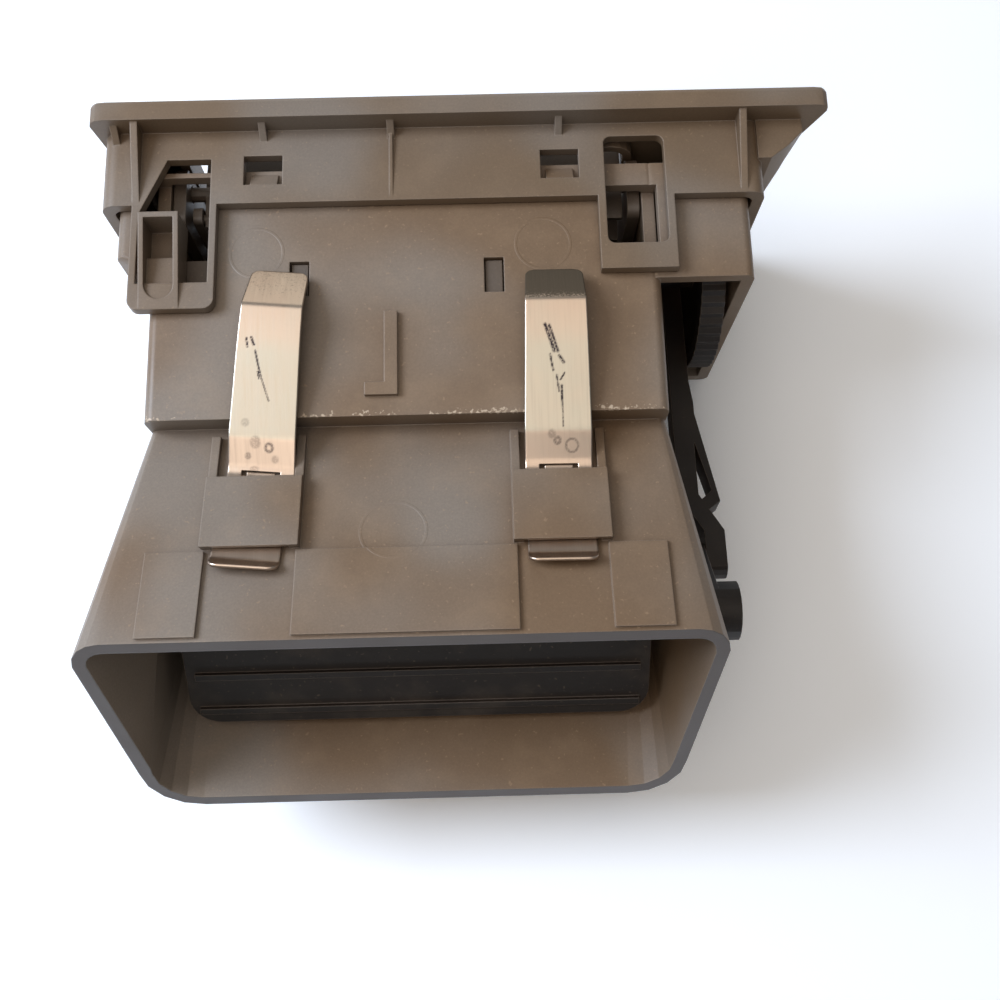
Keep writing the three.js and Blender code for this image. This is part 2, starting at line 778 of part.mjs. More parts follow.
function bezelFins() {
  const wheelFinX = outboard(pocketReach) + ribThickness;
  const legFinX = legX + legWidth - ribThickness / 2;
  return [
    fin(wheelFinX, ribDepth, ribHeight, ribThickness),
    fin(legFinX, ribDepth, ribHeight, ribThickness),
    fin(bodyOffset + midRibShift, ribDepth, gussetHeight / 3, ribThickness / 2),
    fin(bodyOffset + midRibShift, gussetDepth, gussetHeight, ribThickness),
    fin(catchCentres[0], gussetDepth, gussetHeight, ribThickness),
    fin(catchCentres[1], gussetDepth, gussetHeight, ribThickness),
    fin(skirtX1 - 2 * ribThickness, gussetDepth, gussetHeight, ribThickness),
  ];
}

function bezel() {
  const { flange, openings } = bezelFlange();
  const { leg, tongue, finger } = bezelLegs();
  const shell = join(flange, bezelSkirt(), leg, tongue, ...bezelFins());
  return join(cut(shell, ...openings, ...bezelWindows()), finger);
}

// A leaf of spring steel bent over the barrel, with its tail held under a bridge; X is 0 on its middle line
function springClip() {
  const under = (y) => ductTop(y) + fitGap;
  const rise = clipThickness;
  const low = [
    [clipTip, barrelTop + clipTipHeight],
    [clipCrest, barrelTop + clipCrestHeight],
    [clipKnee, barrelTop + clipKneeHeight],
    [bridgeStart - clipLip, under(bridgeStart - clipLip)],
    [clipTail, under(clipTail)],
    [clipTail + clipLip, under(clipTail) + 2 * clipLip],
  ];
  const high = low.map(([y, z]) => [y, z + rise]).reverse();
  const strip = alongX(outlineOf([...low, ...high]), -clipWidth / 2, clipWidth / 2);
  const length = clipCrest - clipTip;
  const corner = (side) => alongZ(outlineOf([
    [side * clipWidth / 2 + side * cutOverrun, clipTip - cutOverrun],
    [side * (clipTipWidth / 2 - length / 8), clipTip - cutOverrun],
    [side * (clipTipWidth / 2 - length / 8), clipTip],
    [side * clipTipWidth / 2, clipTip + length / 8],
    [side * clipWidth / 2, clipKnee],
    [side * clipWidth / 2 + side * cutOverrun, clipKnee],
  ]), barrelTop - cutOverrun, barrelTop + 2 * clipCrestHeight);
  const slot = block(
    -clipSlotWidth / 2, clipSlotWidth / 2,
    bridgeStart - clipSlotLength - fitGap, bridgeStart - fitGap,
    barrelTop - 2 * stepDrop, barrelTop + cutOverrun,
  );
  return cut(strip, corner(1), corner(-1), slot);
}

// The rim is a ring of small teeth; X runs along the axle
function thumbwheel() {
  const rim = new THREE.Shape();
  for (let i = 0; i < 2 * wheelTeeth; i += 1) {
    const radius = wheelRadius - (i % 2) * wheelToothDepth;
    const angle = Math.PI + i * Math.PI / wheelTeeth;
    const point = [wheelY + radius * Math.cos(angle), wheelZ + radius * Math.sin(angle)];
    if (i === 0) rim.moveTo(...point);
    else rim.lineTo(...point);
  }
  const webX0 = (wheelX0 + wheelX1 - wheelWeb) / 2;
  const inside = wheelRadius - wheelRim;
  const tyre = cut(
    alongX(rim, wheelX0, wheelX1),
    rodX(inside, wheelX0 - cutOverrun, wheelX1 + cutOverrun, wheelY, wheelZ, 2 * roundSteps),
  );
  const web = rodX(inside + wheelRim / 2, webX0, webX0 + wheelWeb, wheelY, wheelZ, 2 * roundSteps);
  const hubX0 = outboard(pocketReach - wall - fitGap);
  const hub = rodX(wheelHubRadius, hubX0, axleBearingX - fitGap, wheelY, wheelZ);
  const axleX1 = outboard(halfBarrel - wall / 2 + fitGap);
  const axle = rodX(axleRadius, outboard(pocketReach), axleX1, wheelY, wheelZ);
  const pin = rodX(
    crankPinRadius, webX0 + wheelWeb / 2, wheelX1 + fitGap + rodThickness + fitGap,
    wheelY + crankRadius * Math.cos(crankAngle), wheelZ + crankRadius * Math.sin(crankAngle),
  );
  return join(tyre, web, hub, axle, pin);
}

// The flap lies in its own X and Y here, with its shaft along X through the origin
function flap() {
  const half = flapChord / 2;
  const plate = alongZ(
    roundedOutline(-flapHalfWidth, flapHalfWidth, -half, half, flapCornerRadius),
    -flapThickness / 2, flapThickness / 2,
  );
  const reach = flapHalfWidth - flapCornerRadius / 3;
  const ridge = (y) => block(
    -reach, reach, y - flapRidgeWidth / 2, y + flapRidgeWidth / 2, 0, flapThickness / 2 + flapRidgeHeight,
  );
  const hub = rodX(flapHubRadius, -flapHalfWidth, flapHalfWidth, 0, 0);
  const pins = rodX(
    flapPinRadius, -flapBossReach - fitGap - leverThickness, flapBossReach, 0, 0,
  );
  const ridges = [flapRidgeInner, flapRidgeOuter, -flapRidgeInner, -flapRidgeOuter].map(ridge);
  return join(plate, ...ridges, hub, pins);
}

// A foam band round one half of the flap's underside; side is 1 for the rear half and -1 for the front half
function flapSeal(side) {
  const half = flapChord / 2;
  const z1 = -flapThickness / 2 - fitGap;
  const outer = roundedOutline(
    -flapHalfWidth, flapHalfWidth, -half - sealLip, half + sealLip, flapCornerRadius,
  );
  const inner = roundedOutline(
    sealBand - flapHalfWidth, flapHalfWidth - sealBand,
    sealBand - half, half - sealBand, flapCornerRadius / 2,
  );
  const ring = cut(
    alongZ(outer, z1 - sealThickness, z1),
    alongZ(inner, z1 - sealThickness - cutOverrun, z1 + cutOverrun),
  );
  const hubRoom = flapHubRadius + fitGap;
  const otherHalf = block(
    -flapHalfWidth - cutOverrun, flapHalfWidth + cutOverrun,
    Math.min(side * hubRoom, -side * flapChord), Math.max(side * hubRoom, -side * flapChord),
    z1 - sealThickness - cutOverrun, z1 + cutOverrun,
  );
  return cut(ring, otherHalf);
}

// A plate in Y and Z with an eye at each end, from one centre to another
function armOutline(y0, z0, y1, z1, radius0, radius1) {
  const angle = Math.atan2(z1 - z0, y1 - y0);
  const shape = new THREE.Shape();
  shape.absarc(y0, z0, radius0, angle + Math.PI / 2, angle + 1.5 * Math.PI, false);
  shape.absarc(y1, z1, radius1, angle - Math.PI / 2, angle + Math.PI / 2, false);
  return shape;
}

// The lever sits on the flap's pin beside the duct; Y and Z are measured from the shaft
function flapLever() {
  const eyeY = crankRadius * Math.cos(crankAngle);
  const eyeZ = crankRadius * Math.sin(crankAngle);
  const face = outboard(flapBossReach + fitGap);
  const outer = face - leverThickness;
  const arm = alongX(armOutline(0, 0, eyeY, eyeZ, leverBossRadius, leverEyeRadius), outer, face);
  const boss = rodX(leverBossRadius, face - leverBossLength, face, 0, 0);
  const socket = rodX(flapPinRadius + fitGap, outer - fitGap, face + cutOverrun, 0, 0);
  const eye = rodX(rodPinRadius + fitGap, outer - cutOverrun, face + cutOverrun, eyeY, eyeZ);
  return cut(join(arm, boss), socket, eye);
}

const rodVector = new THREE.Vector2(flapY - wheelY, flapZ - wheelZ);
const rodLength = rodVector.length();
const rodAngle = rodVector.angle();
const rodJogEnd = rodLength - rodEndRun;
const rodJogStart = rodJogEnd - rodJogRun;
const rodFork = rodJogStart - rodLoopRun;
const rodBodyStart = rodFork - rodBodyRun;

// The rod runs along its own Y from the wheel's crank pin to the lever's eye; it is drawn from above
function controlRod() {
  const near = wheelX1 + fitGap;
  const leverOuter = outboard(flapBossReach + fitGap) - leverThickness;
  const far = leverOuter - fitGap;
  const x = (inset) => near + inset;
  const body = outlineOf([
    [x(0), -rodEyeRadius],
    [x(rodThickness), -rodEyeRadius],
    [x(rodThickness), rodBodyStart],
    [x(rodThickness), rodJogStart],
    [far, rodJogEnd],
    [far, rodLength + rodEyeRadius],
    [far - rodThickness, rodLength + rodEyeRadius],
    [far - rodThickness, rodJogEnd],
    [x(0), rodJogStart],
    [x(0), rodFork + rodBodyWidth],
    [x(rodThickness - rodBodyWidth), rodFork],
    [x(rodThickness - rodBodyWidth), rodBodyStart + rodBodyWidth],
    [x(0), rodBodyStart],
  ]);
  const leafRoot = x(rodThickness - rodBodyWidth);
  const leaf = outlineOf([
    [leafRoot + rodLeaf, rodFork - rodBodyWidth],
    [leafRoot + rodLeaf, rodFork],
    [x(rodLeaf - rodLeafReach), rodJogStart - rodLeaf / 2],
    [x(0), rodJogStart + rodLeaf],
    [x(rodLeaf), rodJogStart + 2 * rodLeaf],
    [x(0), rodJogStart + 3 * rodLeaf],
    [x(-rodLeafReach), rodJogStart + rodLeaf],
    [leafRoot, rodFork - rodBodyWidth / 2],
  ]);
  const bar = join(
    alongZ(body, -rodHeight / 2, rodHeight / 2),
    alongZ(leaf, -rodHeight / 2, rodHeight / 2),
  );
  const reachX0 = far - 4 * rodThickness;
  const reachX1 = x(2 * rodThickness);
  const eyes = join(
    alongX(armOutline(0, 0, rodLength, 0, rodEyeRadius, rodEyeRadius), reachX0, reachX1),
    block(reachX0, reachX1, rodEyeRadius, rodLength - rodEyeRadius, -rodHeight, rodHeight),
  );
  const frontHole = rodX(
    crankPinRadius + fitGap, near - cutOverrun, near + rodThickness + cutOverrun, 0, 0,
  );
  const pin = rodX(rodPinRadius, far - rodThickness / 2, leverOuter + leverThickness, rodLength, 0);
  return join(cut(bar.intersect(eyes), frontHole), pin);
}

// A thin lens outline, from its front edge to its rear edge
function lens(front, rear, thickness, edge) {
  const points = [];
  const steps = 2 * cornerSteps;
  const half = (share) => edge / 2 + (thickness - edge) / 2 * Math.sin(Math.PI * share);
  for (let i = 0; i <= steps; i += 1) points.push([front + (rear - front) * i / steps, half(i / steps)]);
  for (let i = steps; i >= 0; i -= 1) points.push([front + (rear - front) * i / steps, -half(i / steps)]);
  return points.reverse();
}

const tieSide = grilleWidth / 2 - fitGap - tieThickness - 2 * fitGap;
const plateInner = grilleWidth / 2 + fitGap;

// A tilting vane, with its axle along X through the origin and a crank pin at one end
function tiltingVane() {
  const half = tilterChord / 2;
  const bladeEnd = fitGap - grilleWidth / 2;
  const blade = alongX(outlineOf(lens(-half, half, tilterThickness, tilterEdge)), bladeEnd, tieSide);
  const pivotEnd = plateInner + sidePlateThickness;
  const root = tilterThickness;
  const pivots = join(
    rodX(pivotRadius, -pivotEnd, bladeEnd + root, 0, 0, roundSteps / 2),
    rodX(pivotRadius, tieSide - root, pivotEnd, 0, 0, roundSteps / 2),
  );
  const crank = rodX(
    linkPinRadius, tieSide - tieThickness, tieSide + fitGap + tieThickness, tilterCrank, 0, roundSteps / 2,
  );
  return join(blade, pivots, crank);
}

const tilterShift = (i) => (i - (tilterCount - 1) / 2) * tilterPitch;
const turnerShift = (i) => (i - (turnerCount - 1) / 2) * turnerPitch;
const tilterIndexes = Array.from({ length: tilterCount }, (_, i) => i);
const turnerIndexes = Array.from({ length: turnerCount }, (_, i) => i);

// The side plates carry the tilting vanes' axles; one plate is on each side of the grille
function sidePlate() {
  const plate = alongX(roundedOutline(
    tilterY - sidePlateAhead, tilterY + sidePlateBehind,
    midZ - sidePlateHalf, midZ + sidePlateHalf, sidePlateMargin,
  ), 0, sidePlateThickness);
  const holes = tilterIndexes.map((i) => rodX(
    pivotRadius + fitGap, -cutOverrun, sidePlateThickness + cutOverrun,
    tilterY, midZ + tilterShift(i), roundSteps / 2,
  ));
  return cut(plate, ...holes);
}

function tilterTie() {
  const end = tilterShift(tilterCount - 1) + tieMargin;
  const x0 = tieSide + fitGap;
  const bar = alongX(
    roundedOutline(tilterCrank - tieWidth / 2, tilterCrank + tieWidth / 2, -end, end, tieWidth / 3),
    x0, x0 + tieThickness,
  );
  const holes = tilterIndexes.map((i) => rodX(
    linkPinRadius + fitGap, x0 - cutOverrun, x0 + tieThickness + cutOverrun,
    tilterCrank, tilterShift(i), roundSteps / 2,
  ));
  return cut(bar, ...holes);
}

const stripHigh = barrelTop - wall - fitGap;
const stripLow = barrelBottom + wall + fitGap;
const turnerHigh = stripHigh - stripThickness - fitGap;
const turnerLow = stripLow + stripThickness + fitGap + tieThickness + fitGap + fitGap;

// An upright vane, with its axle along Z through the origin; Z is measured from the grille's middle
function uprightVane(driven) {
  const high = turnerHigh - midZ;
  const low = turnerLow - midZ;
  const profile = lens(-turnerFront, turnerRear, turnerThickness, turnerEdge);
  const outline = outlineOf(profile.map(([y, x]) => [x, y]));
  const blade = alongZ(outline, low, high);
  const axle = rodZ(pivotRadius, stripLow - midZ, stripHigh - midZ, 0, 0, roundSteps / 2);
  const crankFoot = stripLow + stripThickness + fitGap - midZ;
  const crank = rodZ(linkPinRadius, crankFoot, low + tieThickness, 0, turnerCrank, roundSteps / 2);
  if (!driven) return join(blade, axle, crank);
  const forkWindow = block(
    -turnerThickness, turnerThickness, -turnerFront - cutOverrun, -forkWindowFromAxis,
    -forkWindowHalf, forkWindowHalf,
  );
  const bar = rodZ(
    forkBarRadius, -forkWindowHalf - cutOverrun, forkWindowHalf + cutOverrun,
    0, -forkBarFromAxis, roundSteps / 2,
  );
  return join(cut(blade, forkWindow), axle, crank, bar);
}

// The strips above and below carry the upright vanes' axles, and snap into the barrel's windows by two tabs;
// side is 1 where the tabs stand up and -1 where they hang down
function vaneStrip(side) {
  const halfWidth = innerHalf - fitGap;
  const plate = block(
    bodyOffset - halfWidth, bodyOffset + halfWidth,
    turnerY - stripAhead, turnerY + stripBehind, 0, stripThickness,
  );
  const tabs = windowCentres.map((centre) => block(
    centre - vaneWindowWidth / 2 + fitGap, centre + vaneWindowWidth / 2 - fitGap,
    vaneWindowStart + fitGap, vaneWindowStart + vaneWindowLength - fitGap,
    side > 0 ? stripThickness / 2 : -tabRise, side > 0 ? stripThickness + tabRise : stripThickness / 2,
  ));
  const holes = turnerIndexes.map((i) => rodZ(
    pivotRadius + fitGap, -cutOverrun, stripThickness + cutOverrun,
    bodyOffset + turnerShift(i), turnerY, roundSteps / 2,
  ));
  return cut(join(plate, ...tabs), ...holes);
}

function turnerTie() {
  const end = turnerShift(turnerCount - 1) + tieMargin;
  const z0 = stripLow + stripThickness + fitGap;
  const bar = alongZ(
    roundedOutline(-end, end, turnerCrank - tieWidth / 2, turnerCrank + tieWidth / 2, tieWidth / 3),
    z0, z0 + tieThickness,
  );
  const holes = turnerIndexes.map((i) => rodZ(
    linkPinRadius + fitGap, z0 - cutOverrun, z0 + tieThickness + cutOverrun,
    turnerShift(i), turnerCrank, roundSteps / 2,
  ));
  return cut(bar, ...holes);
}

// The knob is a sleeve round the middle tilting vane; its origin is the vane's axle
function slidingKnob() {
  const bladeHalf = tilterThickness / 2 + fitGap;
  const plateHalf = bladeHalf + knobPlate;
  const rootStart = tilterChord / 2 + fitGap;
  const grip = alongX(roundedOutline(
    -knobReach, -knobBack, -knobHeight / 2, knobHeight / 2, knobHeight / 3,
  ), -knobWidth / 2, knobWidth / 2);
  const sleeve = block(
    -knobPlateWidth / 2, knobPlateWidth / 2, -rootStart, rootStart + forkRoot, -plateHalf, plateHalf,
  );
  const room = block(-knobWidth, knobWidth, -rootStart, rootStart, -bladeHalf, bladeHalf);
  const prongIn = forkBarRadius + forkPlay;
  const forkEnd = turnerY - forkBarFromAxis - tilterY + forkPast;
  const prongs = [-prongIn - forkProng, prongIn].map((x0) => block(
    x0, x0 + forkProng, rootStart, forkEnd, -forkHeight / 2, forkHeight / 2,
  ));
  return join(cut(join(grip, sleeve), room), ...prongs);
}

const vent = new THREE.Group();

function add(parent, name, body, material, position = [0, 0, 0]) {
  const mesh = new THREE.Mesh(body.isBufferGeometry ? body : geometryOf(body), material);
  mesh.name = name;
  mesh.position.set(...position);
  parent.add(mesh);
}

function addClip(name, centre, tilt, geometry) {
  const turnY = bridgeStart + bridgeLength / 2;
  const seat = new THREE.Group();
  seat.position.set(centre, turnY, 0);
  seat.rotation.z = tilt;
  vent.add(seat);
  add(seat, name, geometry, springSteel, [0, -turnY, 0]);
}

add(vent, 'vent_housing', housing(), plastic);
add(vent, 'bezel_frame', bezel(), plastic);

const clipGeometry = geometryOf(springClip());
addClip('spring_clip_left', clipCentres[0], clipTilt, clipGeometry);
addClip('spring_clip_right', clipCentres[1], 0, clipGeometry);

add(vent, 'thumbwheel', thumbwheel(), darkPlastic);

const flapGroup = new THREE.Group();
flapGroup.position.set(bodyOffset, flapY, flapZ);
flapGroup.rotation.x = -flapLean;
vent.add(flapGroup);
add(flapGroup, 'shutoff_flap', flap(), darkPlastic);
add(flapGroup, 'flap_seal_rear', flapSeal(1), foam);
add(flapGroup, 'flap_seal_front', flapSeal(-1), foam);
add(vent, 'flap_lever', flapLever(), darkPlastic, [0, flapY, flapZ]);

const rodGroup = new THREE.Group();
rodGroup.position.set(
  0, wheelY + crankRadius * Math.cos(crankAngle), wheelZ + crankRadius * Math.sin(crankAngle),
);
rodGroup.rotation.x = rodAngle;
vent.add(rodGroup);
add(rodGroup, 'control_rod', controlRod(), darkPlastic);

const sidePlateGeometry = geometryOf(sidePlate());
const leftPlateX = bodyOffset - plateInner - sidePlateThickness;
add(vent, 'side_plate_left', sidePlateGeometry, vanePlastic, [leftPlateX, 0, 0]);
add(vent, 'side_plate_right', sidePlateGeometry, vanePlastic, [bodyOffset + plateInner, 0, 0]);

const tilterGeometry = geometryOf(tiltingVane());
for (const i of tilterIndexes) {
  const place = [bodyOffset, tilterY, midZ + tilterShift(i)];
  add(vent, `tilting_vane_${i + 1}`, tilterGeometry, vanePlastic, place);
}
add(vent, 'tilting_vane_tie', tilterTie(), vanePlastic, [bodyOffset, tilterY, midZ]);

add(vent, 'vane_strip_top', vaneStrip(1), vanePlastic, [0, 0, stripHigh - stripThickness]);
add(vent, 'vane_strip_bottom', vaneStrip(-1), vanePlastic, [0, 0, stripLow]);

const turnerGeometry = geometryOf(uprightVane(false));
const drivenGeometry = geometryOf(uprightVane(true));
for (const i of turnerIndexes) {
  const driven = i === (turnerCount - 1) / 2;
  add(
    vent, `upright_vane_${i + 1}`, driven ? drivenGeometry : turnerGeometry, vanePlastic,
    [bodyOffset + turnerShift(i), turnerY, midZ],
  );
}
add(vent, 'upright_vane_tie', turnerTie(), vanePlastic, [bodyOffset, turnerY, 0]);
add(vent, 'sliding_knob', slidingKnob(), darkPlastic, [bodyOffset, tilterY, midZ]);

const bounds = new THREE.Box3().setFromObject(vent);
for (const child of vent.children) child.position.y -= (bounds.min.y + bounds.max.y) / 2;

export default vent;
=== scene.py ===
# %% [markdown]
# # A car's dashboard air vent
#
# The vent's solids were made in CAD and packed. This script dresses them as moulded plastic, nylon and spring
# steel, and adds what a solid can't show well: the bent leaves of the two clips, the foam on the flap, and dust.
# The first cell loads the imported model. Each solid is an object at the origin with its place in its mesh, and
# everything is in metres. The grille faces -Y, the inlet opens towards +Y and Z is up.

import bmesh
import bpy
import numpy as np
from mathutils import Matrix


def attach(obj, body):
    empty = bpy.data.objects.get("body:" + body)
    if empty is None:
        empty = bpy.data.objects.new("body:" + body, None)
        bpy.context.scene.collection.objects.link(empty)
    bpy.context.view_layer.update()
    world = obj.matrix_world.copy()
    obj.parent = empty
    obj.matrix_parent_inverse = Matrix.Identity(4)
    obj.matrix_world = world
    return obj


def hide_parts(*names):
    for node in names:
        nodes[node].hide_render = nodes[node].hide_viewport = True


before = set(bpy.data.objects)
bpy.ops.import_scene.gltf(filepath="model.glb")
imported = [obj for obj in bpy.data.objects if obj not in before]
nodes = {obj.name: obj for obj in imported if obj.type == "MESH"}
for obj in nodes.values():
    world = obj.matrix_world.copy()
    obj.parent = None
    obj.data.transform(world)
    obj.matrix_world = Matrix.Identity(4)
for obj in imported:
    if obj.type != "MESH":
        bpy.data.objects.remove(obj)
scene = bpy.context.scene
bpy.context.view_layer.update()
MM = 0.001

# %% [markdown]
# ## Camera
#
# The photograph looks down on the back of the vent, about 15 degrees off the vertical. The place and the turn
# were found by fitting the housing's straight edges. The rows of `axes` are the camera's right, up and forward
# directions, and a Blender camera looks along its own -Z.

# %% Place the camera
SENSOR_MM = 36.0
LENS_PER_WIDTH = 1.2
CAMERA_MM = (-4.0, 70.3, 276.6)
LOOK_DOWN, YAW, ROLL = np.radians([75.3, -2.0, 0.5])


def turned(angle):
    """A turn about the third axis, as a 3 by 3 matrix."""
    return np.array([[np.cos(angle), -np.sin(angle), 0], [np.sin(angle), np.cos(angle), 0], [0, 0, 1]])


looking = np.array([
    [-1, 0, 0],
    [0, -np.sin(LOOK_DOWN), np.cos(LOOK_DOWN)],
    [0, -np.cos(LOOK_DOWN), -np.sin(LOOK_DOWN)],
])
axes = turned(-ROLL) @ looking @ turned(-YAW)
place = np.eye(4)
place[:3, :3] = (axes * [[1], [1], [-1]]).T
place[:3, 3] = np.array(CAMERA_MM) * MM
camera = bpy.data.objects.new("camera", bpy.data.cameras.new("camera"))
camera.data.sensor_width = SENSOR_MM
camera.data.lens = SENSOR_MM * LENS_PER_WIDTH
camera.data.clip_start = 0.01
camera.matrix_world = place.T.tolist()
scene.collection.objects.link(camera)
scene.camera = camera
print("camera at", CAMERA_MM, "mm, handedness", round(float(np.linalg.det(place[:3, :3])), 3))

# %% [markdown]
# ## Two helpers for materials
#
# A colour is written as the sRGB hex code that a paint program shows, and Blender's sockets want it linear. One
# function turns the code, and one adds a node, with its settings, its values and its links in one line.

# %% Turn colours and add nodes


def linear(code):
    """An sRGB hex colour as linear RGBA, by the standard curve: a straight part near black and a power above."""
    srgb = np.array([int(code[i:i + 2], 16) for i in (1, 3, 5)]) / 255
    values = np.where(srgb <= 0.04045, srgb / 12.92, ((srgb + 0.055) / 1.055) ** 2.4)
    return (*values.tolist(), 1.0)


def add(tree, kind, values=(), out=0, **settings):
    """Adds a node and gives back one output. Values are for its inputs, in order or by name; an output is linked."""
    node = tree.nodes.new("ShaderNode" + kind)
    for name, setting in settings.items():
        setattr(node, name, setting)
    for key, value in (values.items() if isinstance(values, dict) else enumerate(values)):
        if isinstance(value, bpy.types.NodeSocket):
            tree.links.new(value, node.inputs[key])
        else:
            node.inputs[key].default_value = value
    return node.outputs[out] if len(node.outputs) else node


# %% [markdown]
# ## Floor, world and lamps
#
# The vent lay on white, with daylight from the picture's left and a pale ceiling above. So one cool lamp stands at
# the left and makes the long soft shadow, a broad warm one hangs above, and the world fills in. The two clips mirror
# the broad one, and one behind it lights their lower bends and the step. A low one at the far side is what their
# upturned tips mirror. The floor is brighter for the camera and for mirrors than for the light that it throws back,
# so it is white and still keeps the shadow.

# %% Make the floor and the world
FLOOR_HALF_MM = 3000
FLOOR_SEEN = (1.09, 1.15, 1.21, 1)
scene.view_settings.view_transform = "Standard"
world = bpy.data.worlds.new("studio")
scene.world = world
world.use_nodes = True
world.node_tree.nodes["Background"].inputs["Color"].default_value = linear("#f2f3f5")
world.node_tree.nodes["Background"].inputs["Strength"].default_value = 0.2

floor_white = bpy.data.materials.new("white_floor")
floor_white.use_nodes = True
tree = floor_white.node_tree
tree.nodes.clear()
rays = add(tree, "LightPath", out="Is Camera Ray").node
mirrored = add(tree, "Math", [rays.outputs["Is Glossy Ray"], rays.outputs["Is Transmission Ray"]], operation="MAXIMUM")
seen = add(tree, "Math", [rays.outputs["Is Camera Ray"], mirrored], operation="MAXIMUM")
thrown = add(tree, "BsdfDiffuse", {"Color": linear("#d8c9b4")})
shown = add(tree, "BsdfDiffuse", {"Color": FLOOR_SEEN})
add(tree, "OutputMaterial", [add(tree, "MixShader", [seen, thrown, shown])])

corners = np.array([[-1, -1, 0], [1, -1, 0], [1, 1, 0], [-1, 1, 0]]) * FLOOR_HALF_MM * MM
floor_mesh = bpy.data.meshes.new("floor")
floor_mesh.from_pydata(corners.tolist(), [], [(0, 1, 2, 3)])
floor_mesh.materials.append(floor_white)
floor = bpy.data.objects.new("floor", floor_mesh)
scene.collection.objects.link(floor)

# %% Hang the lamps
LAMPS = {
    "window": {"at": (620, -130, 590), "size": 420, "watts": 7.9, "colour": "#e3ecfb"},
    "ceiling": {"at": (60, 10, 800), "size": 760, "watts": 2.0, "colour": "#ffeedd"},
    "rear": {"at": (190, 520, 700), "size": 420, "watts": 0.9, "colour": "#fff2e6"},
    "far_wall": {"at": (20, -900, 260), "size": 620, "watts": 1.1, "colour": "#fff4e6"},
}
LAMPS_AIM_MM = (0, 0, 40)
for name, lamp in LAMPS.items():
    light = bpy.data.lights.new(name, "AREA")
    light.size = lamp["size"] * MM
    light.energy = lamp["watts"]
    light.color = linear(lamp["colour"])[:3]
    back = np.subtract(lamp["at"], LAMPS_AIM_MM)
    back = back / np.linalg.norm(back)
    side = np.cross([0, 1, 0], back)
    side /= np.linalg.norm(side)
    place = np.eye(4)
    place[:3, :3] = np.array([side, np.cross(back, side), back]).T
    place[:3, 3] = np.array(lamp["at"]) * MM
    made = bpy.data.objects.new(name, light)
    made.matrix_world = place.T.tolist()
    scene.collection.objects.link(made)
print("lamps:", {name: lamp["watts"] for name, lamp in LAMPS.items()})

# %% [markdown]
# ## The moulded plastics
#
# The bezel and the housing are a blend of ABS and polycarbonate, moulded in a warm grey. The tool's inside is
# spark-eroded, so the surface has a fine satin grain and its reflections are broad. Years behind a dashboard
# leave thin brown dust on what faces up. Corners are darkened with painted shade. A painted sheen makes the
# colour blend between a warm and a cooler tone over a few centimetres, and it is cooler on the side towards the
# window lamp. Every moulded edge has a radius of a few tenths of a millimetre, and that round is what catches the
# light. A Bevel node bends the normal there, which leaves the solid's own shape as it is. The rounded edges are
# paler, partly from wear and partly as a painted highlight.
#
# On the housing, the tool's round ejectors left fine rings, crumbs of dust lie along the barrel's rear edge, and
# the faces that look along the inlet rim's axis are darker and greyer. These depend on place, so they read Object
# coordinates, which are in the imported model's own frame.
#
# The vanes are the same blend, darker. The rod, the lever, the wheel and the knob are nylon, which is smoother
# and dark brown. The flap is a near-black polypropylene under a film of dust.

# %% Start a material


def begin(name):
    """A new material, its node tree, its shader, and the point on the piece in millimetres."""
    material = bpy.data.materials.new(name)
    material.use_nodes = True
    tree = material.node_tree
    point = add(tree, "VectorMath", {0: add(tree, "TexCoord", out="Object"), "Scale": 1 / MM}, operation="SCALE")
    return material, tree, tree.nodes["Principled BSDF"], point


# %% Make a moulded plastic
PLASTIC_IOR = 1.52
GRAIN_MM, SPECK_MM, CRUMB_MM = 0.4, 0.8, 0.7
SHEEN_MM, FILM_MM, PATCH_MM, BLOTCH_MM = 34, 11, 14, 13
CORNER_REACH_MM = 7
EDGE_MM, RELIEF_MM = 0.35, 0.05
COOL_SHEEN_X_MM = (15, 60)
MARKS_MM = ((39.7, -35.7, 64.6, 5.1), (-15.6, -36.4, 64.6, 5.3), (13.5, 20.4, 64.2, 6.1))
MARK_LINE_MM = 0.16
RIM_AXIS = (0, 0.8517, 0.524)
STEP_LINE_MM = (-2.4, 64.6)


